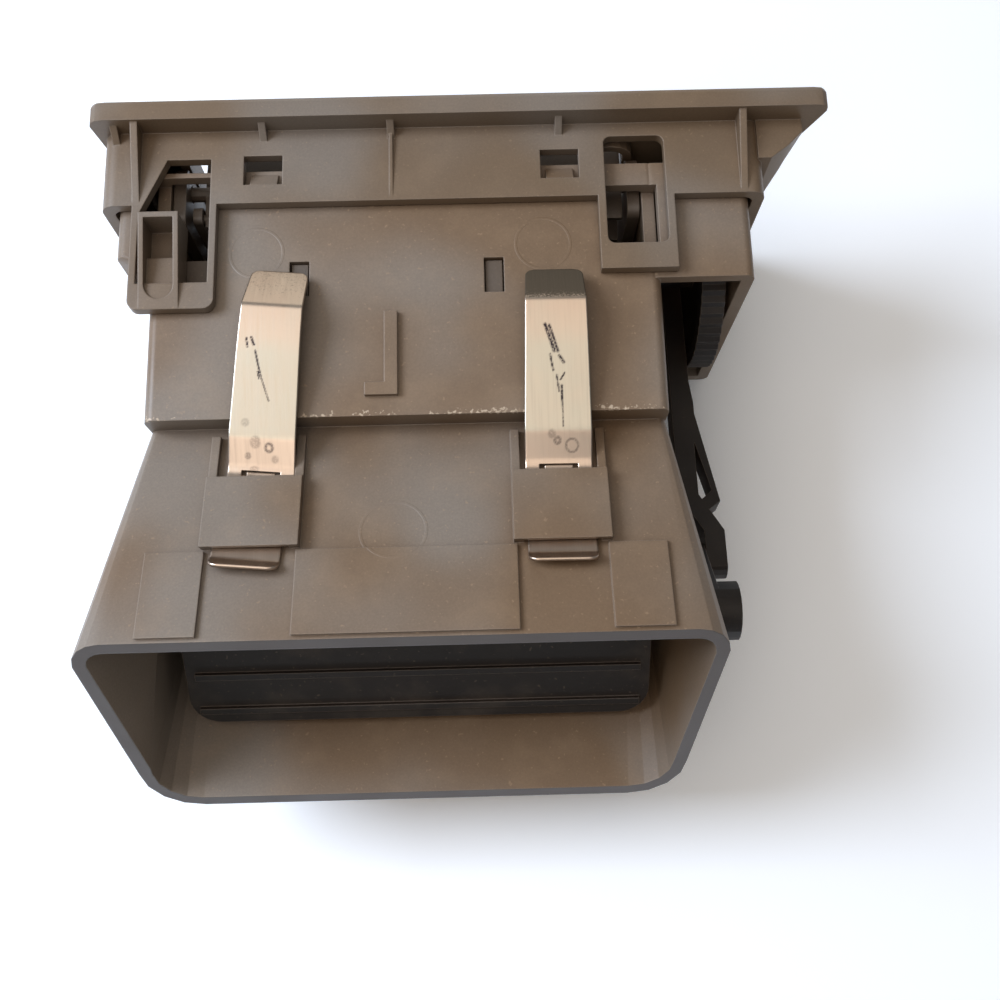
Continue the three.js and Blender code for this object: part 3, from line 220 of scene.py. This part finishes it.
def moulded(name, warm, cool, roughness, dust=0.3, dust_code="#a88f72", marks=(), cut=None, swept=None):
    """Two tones that blend into each other in patches and are cooler towards +X, a painted sheen. Corners get painted
    shade, what faces up gets dust, and rounded edges are paler, partly from wear and partly as a painted highlight.
    The height is the grain plus a fine ring for each ejector mark: x, y, z and radius in mm. Faces that look along
    cut are darker and greyer. Crumbs of dust lie along swept, a line at a given y and z."""
    material, tree, shader, point = begin(name)
    normal = add(tree, "NewGeometry", out="Normal")
    up = add(tree, "SeparateXYZ", [normal], out="Z")

    # Painted sheen: a warm and a cool tone blend into each other in patches, and the colour is cooler towards +X, the
    # window side.
    painted_sheen = add(tree, "TexNoise", {"Vector": point, "Scale": 1 / SHEEN_MM, "Detail": 1.0})
    across = add(tree, "MapRange", [add(tree, "SeparateXYZ", [point], out="X"), *COOL_SHEEN_X_MM, 0.0, -0.12])
    painted_sheen = add(tree, "Math", [painted_sheen, across], operation="ADD")
    painted_sheen = add(tree, "MapRange", [painted_sheen, 0.25, 0.65], interpolation_type="SMOOTHERSTEP")
    colour = add(tree, "Mix", {0: painted_sheen, 6: linear(cool), 7: linear(warm)}, out=2, data_type="RGBA")
    grain = add(tree, "TexNoise", {"Vector": point, "Scale": 1 / GRAIN_MM, "Detail": 2.0})
    pits = add(tree, "MapRange", [grain, 0.35, 0.7, 0.12, 0.0])
    colour = add(tree, "Mix", {0: pits, 6: colour, 7: linear("#17120e")}, out=2, data_type="RGBA")

    # Painted shade: where the AO node finds the surface closed in, the colour darkens to brown.
    open_share = add(tree, "AmbientOcclusion", {"Distance": CORNER_REACH_MM * MM}, out="AO", samples=4)
    corner = add(tree, "MapRange", [open_share, 0.25, 0.85, 0.38, 0.0])
    colour = add(tree, "Mix", {0: corner, 6: colour, 7: linear("#4b3522")}, out=2, data_type="RGBA")

    facing = add(tree, "MapRange", [up, 0.3, 0.95], interpolation_type="SMOOTHSTEP")
    # A film of dust, with specks, on what faces up.
    dust_and_reflection = add(tree, "TexNoise", {"Vector": point, "Scale": 1 / FILM_MM, "Detail": 6.0, "Roughness": 0.6})
    dust_and_reflection = add(tree, "MapRange", [dust_and_reflection, 0.45, 0.75, 0.0, 0.5], interpolation_type="SMOOTHSTEP")
    specks = add(tree, "TexNoise", {"Vector": point, "Scale": 1 / SPECK_MM, "Detail": 2.0})
    specks = add(tree, "MapRange", [specks, 0.67, 0.73])
    lying = add(tree, "Math", [dust_and_reflection, specks], operation="MAXIMUM")
    lying = add(tree, "Math", [lying, facing], operation="MULTIPLY")
    lying = add(tree, "Math", [lying, dust], operation="MULTIPLY")
    colour = add(tree, "Mix", {0: lying, 6: colour, 7: linear(dust_code)}, out=2, data_type="RGBA")

    rounded = add(tree, "Bevel", {"Radius": EDGE_MM * MM}, samples=6)
    # Partly wear, partly a painted highlight: the rounded edges, where the Bevel normal leaves the face's own, are
    # paler.
    bent = add(tree, "VectorMath", [rounded, normal], out="Value", operation="DOT_PRODUCT")
    edge_highlight_and_wear = add(tree, "MapRange", [bent, 0.97, 0.8, 0.0, 0.3])
    colour = add(tree, "Mix", {0: edge_highlight_and_wear, 6: colour, 7: linear("#b3a698")}, out=2, data_type="RGBA")
    if swept:
        off = add(tree, "VectorMath", [point, (0, 1, 1)], operation="MULTIPLY")
        off = add(tree, "VectorMath", [off, (0, *swept)], out="Value", operation="DISTANCE")
        crumbs = add(tree, "TexNoise", {"Vector": point, "Scale": 1 / CRUMB_MM, "Detail": 3.0})
        patches = add(tree, "TexNoise", {"Vector": point, "Scale": 1 / PATCH_MM})
        crumbs = add(tree, "Math", [crumbs, add(tree, "MapRange", [patches, 0.35, 0.6, -0.12, 0.06])], operation="ADD")
        crumbs = add(tree, "Math", [crumbs, add(tree, "MapRange", [off, 0.1, 2.2, 0.0, 0.3])], operation="SUBTRACT")
        crumbs = add(tree, "MapRange", [crumbs, 0.53, 0.61, 0.0, 0.8])
        colour = add(tree, "Mix", {0: crumbs, 6: colour, 7: linear("#c4b39c")}, out=2, data_type="RGBA")
    # Faces that look along cut are darker and greyer.
    if cut:
        along = add(tree, "VectorMath", [normal, cut], out="Value", operation="DOT_PRODUCT")
        greyer_faces = add(tree, "MapRange", [along, 0.975, 0.995, 0.0, 0.9])
        colour = add(tree, "Mix", {0: greyer_faces, 6: colour, 7: linear("#4c4a4c")}, out=2, data_type="RGBA")
    tree.links.new(colour, shader.inputs["Base Color"])

    height = grain
    for x, y, z, radius in marks:
        away = add(tree, "VectorMath", [point, (x, y, z)], out="Value", operation="DISTANCE")
        away = add(tree, "Math", [away, radius], operation="SUBTRACT")
        away = add(tree, "Math", [away], operation="ABSOLUTE")
        ring = add(tree, "MapRange", [away, MARK_LINE_MM, 2 * MARK_LINE_MM, 4.0, 0.0], interpolation_type="SMOOTHSTEP")
        height = add(tree, "Math", [height, ring], operation="ADD")
    bump = add(tree, "Bump", {"Height": height, "Normal": rounded, "Strength": 0.3, "Distance": RELIEF_MM * MM})
    tree.links.new(bump, shader.inputs["Normal"])
    blotch = add(tree, "TexNoise", {"Vector": point, "Scale": 1 / BLOTCH_MM, "Detail": 4.0})
    rough = add(tree, "MapRange", [blotch, 0.3, 0.7, roughness - 0.05, roughness + 0.07])
    rough = add(tree, "Math", [lying, 0.3, rough], operation="MULTIPLY_ADD")
    tree.links.new(rough, shader.inputs["Roughness"])
    shader.inputs["IOR"].default_value = PLASTIC_IOR
    return material


satin_housing = moulded("satin_abs_pc_housing", "#76614b", "#837a70", 0.42, marks=MARKS_MM, cut=RIM_AXIS,
                         swept=STEP_LINE_MM)
satin_bezel = moulded("satin_abs_pc_bezel", "#72604c", "#7c7369", 0.44, dust=0.2)
satin_vanes = moulded("satin_abs_pc_vanes", "#5d5247", "#5c5650", 0.4, dust=0.1)
brown_nylon = moulded("brown_nylon_linkage", "#150d08", "#130c09", 0.55, dust=0.08, dust_code="#7b6249")
black_flap = moulded("black_polypropylene_flap", "#1b1613", "#171514", 0.5, dust=0.7, dust_code="#5d5246")
print("plastics:", [m.name for m in bpy.data.materials if m.name.startswith(("satin", "brown", "black"))])

# %% [markdown]
# ## The solids in their plastics
#
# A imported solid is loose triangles, so a curved wall shows its facets. The large pieces are copied, their doubles
# are merged, and each corner of each triangle gets its own normal, rounded over neighbours that meet it at less than
# 18 degrees. The copy then stands in for its solid. The thin flat vanes and their frames need no smoothing, so they
# stay as they are and only get their material.

# %% Copy a solid with smooth shading
DOUBLES_M = 2e-6
SHARP_COSINE = np.cos(np.radians(18))


def round_corners(mesh):
    """Each triangle's corner gets the mean of the face normals at that point that lie within 18 degrees of its own
    face's normal, weighted by area. So a curve looks round and a flat face stays flat."""
    point, face = np.empty(len(mesh.loops), int), np.arange(len(mesh.loops)) // 3
    mesh.loops.foreach_get("vertex_index", point)
    normals, areas = np.empty(3 * len(mesh.polygons)), np.empty(len(mesh.polygons))
    mesh.polygons.foreach_get("normal", normals)
    mesh.polygons.foreach_get("area", areas)
    normals = normals.reshape(-1, 3)
    order = np.argsort(point, kind="stable")
    mean = np.zeros((len(point), 3))
    for corners in np.split(order, np.flatnonzero(np.diff(point[order])) + 1):
        around = normals[face[corners]]
        mean[corners] = ((around @ around.T > SHARP_COSINE) * areas[face[corners]]) @ around
    mean /= np.maximum(np.linalg.norm(mean, axis=1), 1e-20)[:, None]
    mesh.polygons.foreach_set("use_smooth", np.ones(len(mesh.polygons), bool))
    mesh.normals_split_custom_set(mean.tolist())


def smooth_copy(node, material, body):
    """A copy of a solid with its points merged and smooth shading between its sharp edges."""
    mesh = nodes[node].data.copy()
    work = bmesh.new()
    work.from_mesh(mesh)
    bmesh.ops.remove_doubles(work, verts=work.verts, dist=DOUBLES_M)
    work.to_mesh(mesh)
    work.free()
    round_corners(mesh)
    mesh.materials.clear()
    mesh.materials.append(material)
    made = bpy.data.objects.new(node + "_moulded", mesh)
    scene.collection.objects.link(made)
    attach(made, body)
    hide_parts(node)
    return made


SMOOTHED = {
    "vent_housing": (satin_housing, "housing", "frame"),
    "bezel_frame": (satin_bezel, "bezel", "frame"),
    "thumbwheel": (brown_nylon, "linkage", "wheel"),
    "control_rod": (brown_nylon, "linkage", "rod"),
    "flap_lever": (brown_nylon, "linkage", "shutoff"),
    "sliding_knob": (brown_nylon, "linkage", "knob"),
    "shutoff_flap": (black_flap, "flap", "shutoff"),
}
for node, (material, slot, body) in SMOOTHED.items():
    smooth_copy(node, material, body)
plain = [node for node in nodes if "vane" in node or "side_plate" in node]
for node in plain:
    nodes[node].data.materials.clear()
    nodes[node].data.materials.append(satin_vanes)
print("smoothed", len(SMOOTHED), "solids and dressed", len(plain), "as they are")

# %% [markdown]
# ## Surfaces from numpy
#
# A new piece is a grid of points: rows along it and columns across. This helper joins neighbouring points into
# four-sided faces, leaves out those of a hole, and makes the object.

# %% Make a piece from a grid of points


def piece_from_grid(name, grid, material, body, closed=False, keep=None):
    """A grid of rows by columns of points in mm becomes a mesh of quads, closed round the columns if asked."""
    rows, columns = grid.shape[:2]
    index = np.arange(rows * columns).reshape(rows, columns)
    if closed:
        index = np.hstack([index, index[:, :1]])
    quads = np.stack([index[:-1, :-1], index[:-1, 1:], index[1:, 1:], index[1:, :-1]], axis=-1)
    quads = quads.reshape(-1, 4) if keep is None else quads[keep]
    mesh = bpy.data.meshes.new(name)
    mesh.from_pydata((grid.reshape(-1, 3) * MM).tolist(), [], quads.tolist())
    mesh.polygons.foreach_set("use_smooth", np.ones(len(quads), bool))
    mesh.materials.append(material)
    made = bpy.data.objects.new(name, mesh)
    scene.collection.objects.link(made)
    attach(made, body)
    return made


# %% [markdown]
# ## The spring clips' steel
#
# The clips are stamped from rolled spring steel strip, 0.6 mm thick, and bent. The strip is bright with a thin
# straw-coloured oxide film, and it is painted pinker at the crest and past the lower bend, a painted reflection.
# Rolling leaves fine lines along it. Sliding in and out of a dashboard has left dark scratches, damp has left
# small rust rings below the lower bend, and the oxide is thick and dark at one tip. Steel is a metal, so its
# colour is its reflection. The painted reflection and the marks follow the strip, so they are worked out point by
# point below and kept as attributes, which the material reads.

# %% Make the spring steel
LINE_MM, CLOUD_MM, SPECKLE_MM = 0.35, 6, 0.35
LINE_STRETCH = (1, 0.03, 0.03)
STEEL_EDGE_MM, DENT_MM = 0.15, 0.02


def spring_steel(name):
    """Straw-coloured metal with rolling lines; its three attributes paint a pink reflection on it, blacken it and
    scratch it.
    """
    material, tree, shader, point = begin(name)
    dust_and_reflection, soot, mark = (add(tree, "Attribute", out="Fac", attribute_name=key) for key in ("dust_and_reflection", "soot", "mark"))
    stretched = add(tree, "Mapping", {"Vector": point, "Scale": LINE_STRETCH})
    lines = add(tree, "TexNoise", {"Vector": stretched, "Scale": 1 / LINE_MM, "Detail": 3.0})
    cloud = add(tree, "TexNoise", {"Vector": point, "Scale": 1 / CLOUD_MM, "Detail": 4.0})
    speckle = add(tree, "TexNoise", {"Vector": point, "Scale": 1 / SPECKLE_MM, "Detail": 3.0, "Roughness": 0.7})

    # Painted reflection: the strip's reflection attribute turns the steel pink, broken up by a random cloud.
    uneven = add(tree, "MapRange", [cloud, 0.35, 0.65, -0.12, 0.12])
    pink = add(tree, "Math", [uneven, dust_and_reflection], operation="ADD", use_clamp=True)
    colour = add(tree, "Mix", {0: pink, 6: linear("#c6c2b4"), 7: linear("#d1bfae")}, out=2, data_type="RGBA")
    drawn = add(tree, "MapRange", [lines, 0.5, 0.8, 0.0, 0.12])
    colour = add(tree, "Mix", {0: drawn, 6: colour, 7: linear("#8b7c66")}, out=2, data_type="RGBA")
    edge = add(tree, "MapRange", [speckle, 0.3, 0.7, -0.22, 0.22])
    black = add(tree, "Math", [soot, edge], operation="ADD")
    black = add(tree, "MapRange", [black, 0.3, 0.7], interpolation_type="SMOOTHSTEP")
    black = add(tree, "Math", [black, add(tree, "MapRange", [soot, 0.02, 0.1])], operation="MULTIPLY")
    colour = add(tree, "Mix", {0: black, 6: colour, 7: linear("#6f675b")}, out=2, data_type="RGBA")
    broken = add(tree, "MapRange", [speckle, 0.36, 0.5, 0.35, 1.0])
    broken = add(tree, "Math", [broken, mark], operation="MULTIPLY")
    colour = add(tree, "Mix", {0: broken, 6: colour, 7: linear("#2a2430")}, out=2, data_type="RGBA")
    tree.links.new(colour, shader.inputs["Base Color"])

    shader.inputs["Metallic"].default_value = 1.0
    rough = add(tree, "MapRange", [lines, 0.3, 0.7, 0.28, 0.38])
    rough = add(tree, "Math", [black, 0.25, rough], operation="MULTIPLY_ADD")
    tree.links.new(rough, shader.inputs["Roughness"])
    rounded = add(tree, "Bevel", {"Radius": STEEL_EDGE_MM * MM}, samples=4)
    dent = add(tree, "Math", [mark, -2.0, lines], operation="MULTIPLY_ADD")
    bump = add(tree, "Bump", {"Height": dent, "Normal": rounded, "Strength": 0.2, "Distance": DENT_MM * MM})
    tree.links.new(bump, shader.inputs["Normal"])
    return material


straw_steel = spring_steel("straw_spring_steel")

# %% [markdown]
# ## The two spring clips
#
# Each clip is one leaf. From its free tip it climbs to a sharp crest, comes down over the barrel with one soft
# bend, dips into the step, and runs under its bridge to an upturned lip. Seen from the side this is one line, so
# the leaf is that line carried across its width: a grid whose rows are places along the line. The tip's corners
# are rounded by narrowing the first rows. The slot that locks the clip is a gap in the grid, with a tab in its
# middle. A Solidify modifier gives the strip its thickness, and the steel's Bevel node softens its cut edges.

# %% Draw the clip's side view
FLANGE_Y_MM = -60.704
STEP_Y, DUCT_Z, DUCT_SLOPE = 58.6, 58.9, 12.2 / 42.4


def duct_top(y):
    """The height of the duct's top at a depth behind the flange: a straight slope from the step to the rim."""
    return DUCT_Z + DUCT_SLOPE * (y - STEP_Y)


def bent_line(points, rounds, steps=10):
    """Straight runs joined by quadratic curves, each of which leaves its corner at the given distance."""
    points = np.array(points, float)
    share = np.linspace(0, 1, steps)[:, None]
    line = [points[:1]]
    for before, corner, after, away in zip(points[:-2], points[1:-1], points[2:], rounds):
        start = corner + (before - corner) / np.linalg.norm(before - corner) * away
        end = corner + (after - corner) / np.linalg.norm(after - corner) * away
        line.append((1 - share) ** 2 * start + 2 * share * (1 - share) * corner + share ** 2 * end)
    line.append(points[-1:])
    return np.concatenate(line)


STRIP_MM = 0.6
FLOAT_MM, LIP_MM = 0.3, 2.5
TIP_Y, CREST_Y, KNEE_Y, DIP_Y, TAIL_Y, LIP_Y = 30.0, 38.4, 62.2, 68.1, 86.6, 88.1
PIVOT_Y = 76.7
side_view = bent_line(
    [(TIP_Y, 66.0), (CREST_Y, 70.0), (45.0, 69.3), (KNEE_Y, 65.1), (DIP_Y, duct_top(DIP_Y) + FLOAT_MM),
     (TAIL_Y, duct_top(TAIL_Y) + FLOAT_MM), (LIP_Y, duct_top(TAIL_Y) + FLOAT_MM + LIP_MM)],
    [0.5, 5.0, 0.9, 1.6, 0.8],
)
length = np.concatenate([[0], np.cumsum(np.linalg.norm(np.diff(side_view, axis=0), axis=1))])
print("the strip is", round(float(length[-1]), 1), "mm long before bending")

# %% Carry it across the strip's width
ROW_MM = 0.22
COLUMNS = 57
SLOT_HALF = 3.6
SLOT_Y = (68.2, 69.5)
TAB_HALF, TAB_Y = 2.6, 68.6
CORNER_MM = 1.7
HALF_MM = [5.35, 5.7, 6.2]


def leaf_grid(tip):
    """Rows along the side view by columns across: x is the column's share of the half width at that row. The half
    width is read off three places, and near each end a quarter circle's height is taken off it."""
    first = float(np.interp(tip, side_view[:, 0], length))
    along = np.arange(first, length[-1], ROW_MM)
    slot_at = np.interp(SLOT_Y, side_view[:, 0], length)
    along = np.unique(np.concatenate([along, slot_at, length[-1:]]))
    y, z = (np.interp(along, length, side_view[:, axis]) for axis in (0, 1))
    half = np.interp(y, [TIP_Y, CREST_Y, KNEE_Y], HALF_MM)
    for end in (along - first, length[-1] - along):
        short = CORNER_MM - np.minimum(end, CORNER_MM)
        half = half - CORNER_MM + np.sqrt(CORNER_MM ** 2 - short ** 2)
    slot_share = SLOT_HALF / half[np.searchsorted(along, slot_at[0])]
    tab_share = slot_share * TAB_HALF / SLOT_HALF
    ends = [-slot_share, -tab_share, tab_share, slot_share]
    share = np.unique(np.concatenate([np.linspace(-1, 1, COLUMNS), ends]))
    grid = np.stack(np.broadcast_arrays(half[:, None] * share, y[:, None], z[:, None]), axis=-1)
    row_mid, column_mid = (y[:-1] + y[1:]) / 2, (share[:-1] + share[1:]) / 2
    in_slot = ((row_mid > SLOT_Y[0]) & (row_mid < SLOT_Y[1]))[:, None] & (np.abs(column_mid) < slot_share)
    tab = (row_mid > TAB_Y)[:, None] & (np.abs(column_mid) < tab_share)
    return grid, ~in_slot | tab


print("a leaf's grid is", leaf_grid(TIP_Y)[0].shape[:2], "points")

# %% Work out the marks


def near_line(x, y, start, end, half_width):
    """1 within half_width of the straight line between two points, falling to 0 at twice that distance."""
    start, end = np.array(start), np.array(end)
    run = end - start
    share = np.clip(((x - start[0]) * run[0] + (y - start[1]) * run[1]) / (run @ run), 0, 1)
    away = np.hypot(x - start[0] - share * run[0], y - start[1] - share * run[1])
    return np.clip(2 - away / half_width, 0, 1)


def near_ring(x, y, middle, radius, half_width):
    """1 within half_width of a circle, falling to 0 at twice that distance."""
    return np.clip(2 - np.abs(np.hypot(x - middle[0], y - middle[1]) - radius) / half_width, 0, 1)


# Lines: start, end and half width. Rings: middle, radius, half width and strength. All in mm, seen from above.
CLIPS = {
    "left": {
        "middle": 38.9, "tip": 30.0, "turn": -5.2, "soot": 0.30, "soot_run": 9.0,
        "lines": [((40.1, -16.2), (39.9, -14.6), 0.13), ((39.2, -16.3), (38.7, -14.9), 0.15),
                  ((38.5, -13.8), (37.6, -9.3), 0.12), ((38.1, -10.0), (37.9, -8.8), 0.1),
                  ((37.6, -9.3), (36.2, -4.7), 0.08)],
        "rings": [((36.4, 3.4), 0.65, 0.16, 0.7), ((38.9, 2.4), 0.5, 0.35, 0.35), ((40.4, 4.6), 0.2, 0.25, 0.5),
                  ((35.4, 5.4), 0.2, 0.3, 0.35), ((39.4, 7.2), 0.4, 0.3, 0.3), ((40.6, -1.0), 0.3, 0.3, 0.3)],
    },
    "right": {
        "middle": -17.0, "tip": 31.3, "turn": -0.4, "soot": 1.0, "soot_run": 10.0,
        "lines": [((-15.1, -17.4), (-16.7, -12.5), 0.2), ((-15.9, -17.2), (-17.4, -12.4), 0.16),
                  ((-17.6, -11.6), (-18.4, -10.4), 0.17), ((-15.9, -11.9), (-16.4, -9.0), 0.12),
                  ((-18.5, -8.5), (-17.7, -7.3), 0.1), ((-17.0, -8.2), (-17.4, -5.2), 0.1),
                  ((-17.9, -6.2), (-17.9, -3.8), 0.16), ((-17.9, -3.8), (-18.0, 1.0), 0.08)],
        "rings": [((-16.9, 3.3), 0.5, 0.18, 0.55), ((-19.6, 4.2), 1.1, 0.13, 0.5), ((-15.9, 2.2), 0.3, 0.3, 0.35)],
    },
}


# Painted reflection: how pink the steel is painted at places along the strip.
REFLECTION_Y = [CREST_Y, CREST_Y + 6, CREST_Y + 9, KNEE_Y, KNEE_Y + 0.5]
REFLECTION_SHARE = [0.85, 0.6, 0.1, 0.1, 1.0]


def bend_steel(side, spec):
    """The leaf at its place, turned about its tail, with its three attributes and its thickness. The painted
    reflection changes along the strip, and the soot fades from the tip by a fourth power and ends at the crest."""
    angle = np.radians(spec["turn"])
    leaf, keep = leaf_grid(spec["tip"])
    grid = leaf.copy()
    grid[..., 1] += FLANGE_Y_MM
    pivot = PIVOT_Y + FLANGE_Y_MM
    x, y = grid[..., 0].copy(), grid[..., 1] - pivot
    grid[..., 0] = spec["middle"] + x * np.cos(angle) - y * np.sin(angle)
    grid[..., 1] = pivot + x * np.sin(angle) + y * np.cos(angle)
    made = piece_from_grid(f"spring_clip_{side}_leaf", grid, straw_steel, "frame", keep=keep)
    mark = np.zeros(grid.shape[:2])
    for start, end, half_width in spec["lines"]:
        mark = np.maximum(mark, near_line(grid[..., 0], grid[..., 1], start, end, half_width))
    for middle, radius, half_width, strength in spec["rings"]:
        mark = np.maximum(mark, strength * near_ring(grid[..., 0], grid[..., 1], middle, radius, half_width))
    along = leaf[..., 1]
    # The painted reflection along the strip.
    dust_and_reflection = np.interp(along, REFLECTION_Y, REFLECTION_SHARE)
    soot = spec["soot"] * (1 - np.clip((along - TIP_Y) / spec["soot_run"], 0, 1) ** 4)
    soot = np.where(along > CREST_Y, 0, soot)
    for key, values in (("dust_and_reflection", dust_and_reflection), ("soot", soot), ("mark", mark)):
        layer = made.data.attributes.new(key, "FLOAT", "POINT")
        layer.data.foreach_set("value", values.ravel().astype(np.float32))
    wall = made.modifiers.new("strip", "SOLIDIFY")
    wall.thickness, wall.offset = STRIP_MM * MM, 1
    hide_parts(f"spring_clip_{side}")
    return made


for side, spec in CLIPS.items():
    clip = bend_steel(side, spec)
    print(clip.name, len(clip.data.polygons), "faces")

# %% [markdown]
# ## The flap's foam
#
# Under each half of the flap lies a U-shaped band of soft foam that seals it. Foam is cut from sheet, and its
# edges swell a little. So the section is a superellipse, a box with full corners, and it is carried round a
# U-shaped path with round corners in the flap's own plane.

# %% Make the foam
CELL_MM, CELL_DEPTH_MM = 0.35, 0.2


def soft_foam(name):
    """Black open foam: matt, with cells a third of a millimetre wide."""
    material, tree, shader, point = begin(name)
    cells = add(tree, "TexVoronoi", {"Vector": point, "Scale": 1 / CELL_MM})
    colour = add(tree, "Mix", {0: cells, 6: linear("#0d0c0b"), 7: linear("#2c2926")}, out=2, data_type="RGBA")
    tree.links.new(colour, shader.inputs["Base Color"])
    bump = add(tree, "Bump", {"Height": cells, "Strength": 0.8, "Distance": CELL_DEPTH_MM * MM})
    tree.links.new(bump, shader.inputs["Normal"])
    shader.inputs["Roughness"].default_value = 0.95
    return material


open_foam = soft_foam("black_open_foam")
FLAP_AXIS_MM = (11.0, 93.5 + FLANGE_Y_MM, 43.7)
FLAP_LEAN = np.radians(41.6)
BAND_HALF, BAND_THICK_HALF, BAND_POWER = 2.95, 0.78, 4
BAND_X, BAND_END_Y, BAND_START_Y, BAND_CORNER, BAND_Z = 43.2, 20.4, 4.2, 3.2, -2.2
BAND_COLUMNS = 28
END_RUN, END_SHARE = (0, 0.3), 0.02


def foam_band(side):
    """The superellipse |a/A|^4 + |b/B|^4 = 1 carried along a U: down one side, across the end and back. It shrinks
    to a point at both ends, and the whole is turned by the flap's lean about its axis."""
    path = bent_line(
        [(-BAND_X, BAND_START_Y), (-BAND_X, BAND_END_Y), (BAND_X, BAND_END_Y), (BAND_X, BAND_START_Y)],
        [BAND_CORNER, BAND_CORNER], steps=14,
    )
    path = np.vstack([path[:1], path[:1] + END_RUN, path[1:-1], path[-1:] + END_RUN, path[-1:]])
    run = np.gradient(path, axis=0)
    run /= np.linalg.norm(run, axis=1)[:, None]
    out = np.stack([run[:, 1], -run[:, 0]], axis=1)
    full = np.ones(len(path))
    full[[0, -1]] = END_SHARE
    angle = np.linspace(0, 2 * np.pi, BAND_COLUMNS, endpoint=False)
    a = np.sign(np.cos(angle)) * np.abs(np.cos(angle)) ** (2 / BAND_POWER) * BAND_HALF
    b = np.sign(np.sin(angle)) * np.abs(np.sin(angle)) ** (2 / BAND_POWER) * BAND_THICK_HALF
    x = path[:, :1] + out[:, :1] * a * full[:, None]
    y = side * (path[:, 1:] + out[:, 1:] * a * full[:, None])
    z = BAND_Z + b * full[:, None]
    cos, sin = np.cos(-FLAP_LEAN), np.sin(-FLAP_LEAN)
    grid = np.stack([x, y * cos - z * sin, y * sin + z * cos], axis=-1)
    return grid + FLAP_AXIS_MM


for name, side in (("rear", 1), ("front", -1)):
    band = piece_from_grid(f"flap_foam_{name}", foam_band(side), open_foam, "shutoff", closed=True)
    work = bmesh.new()
    work.from_mesh(band.data)
    bmesh.ops.recalc_face_normals(work, faces=work.faces)
    work.to_mesh(band.data)
    work.free()
    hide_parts(f"flap_seal_{name}")
    low, high = np.array(band.bound_box).min(0) / MM, np.array(band.bound_box).max(0) / MM
    print(band.name, low.round(1), high.round(1))
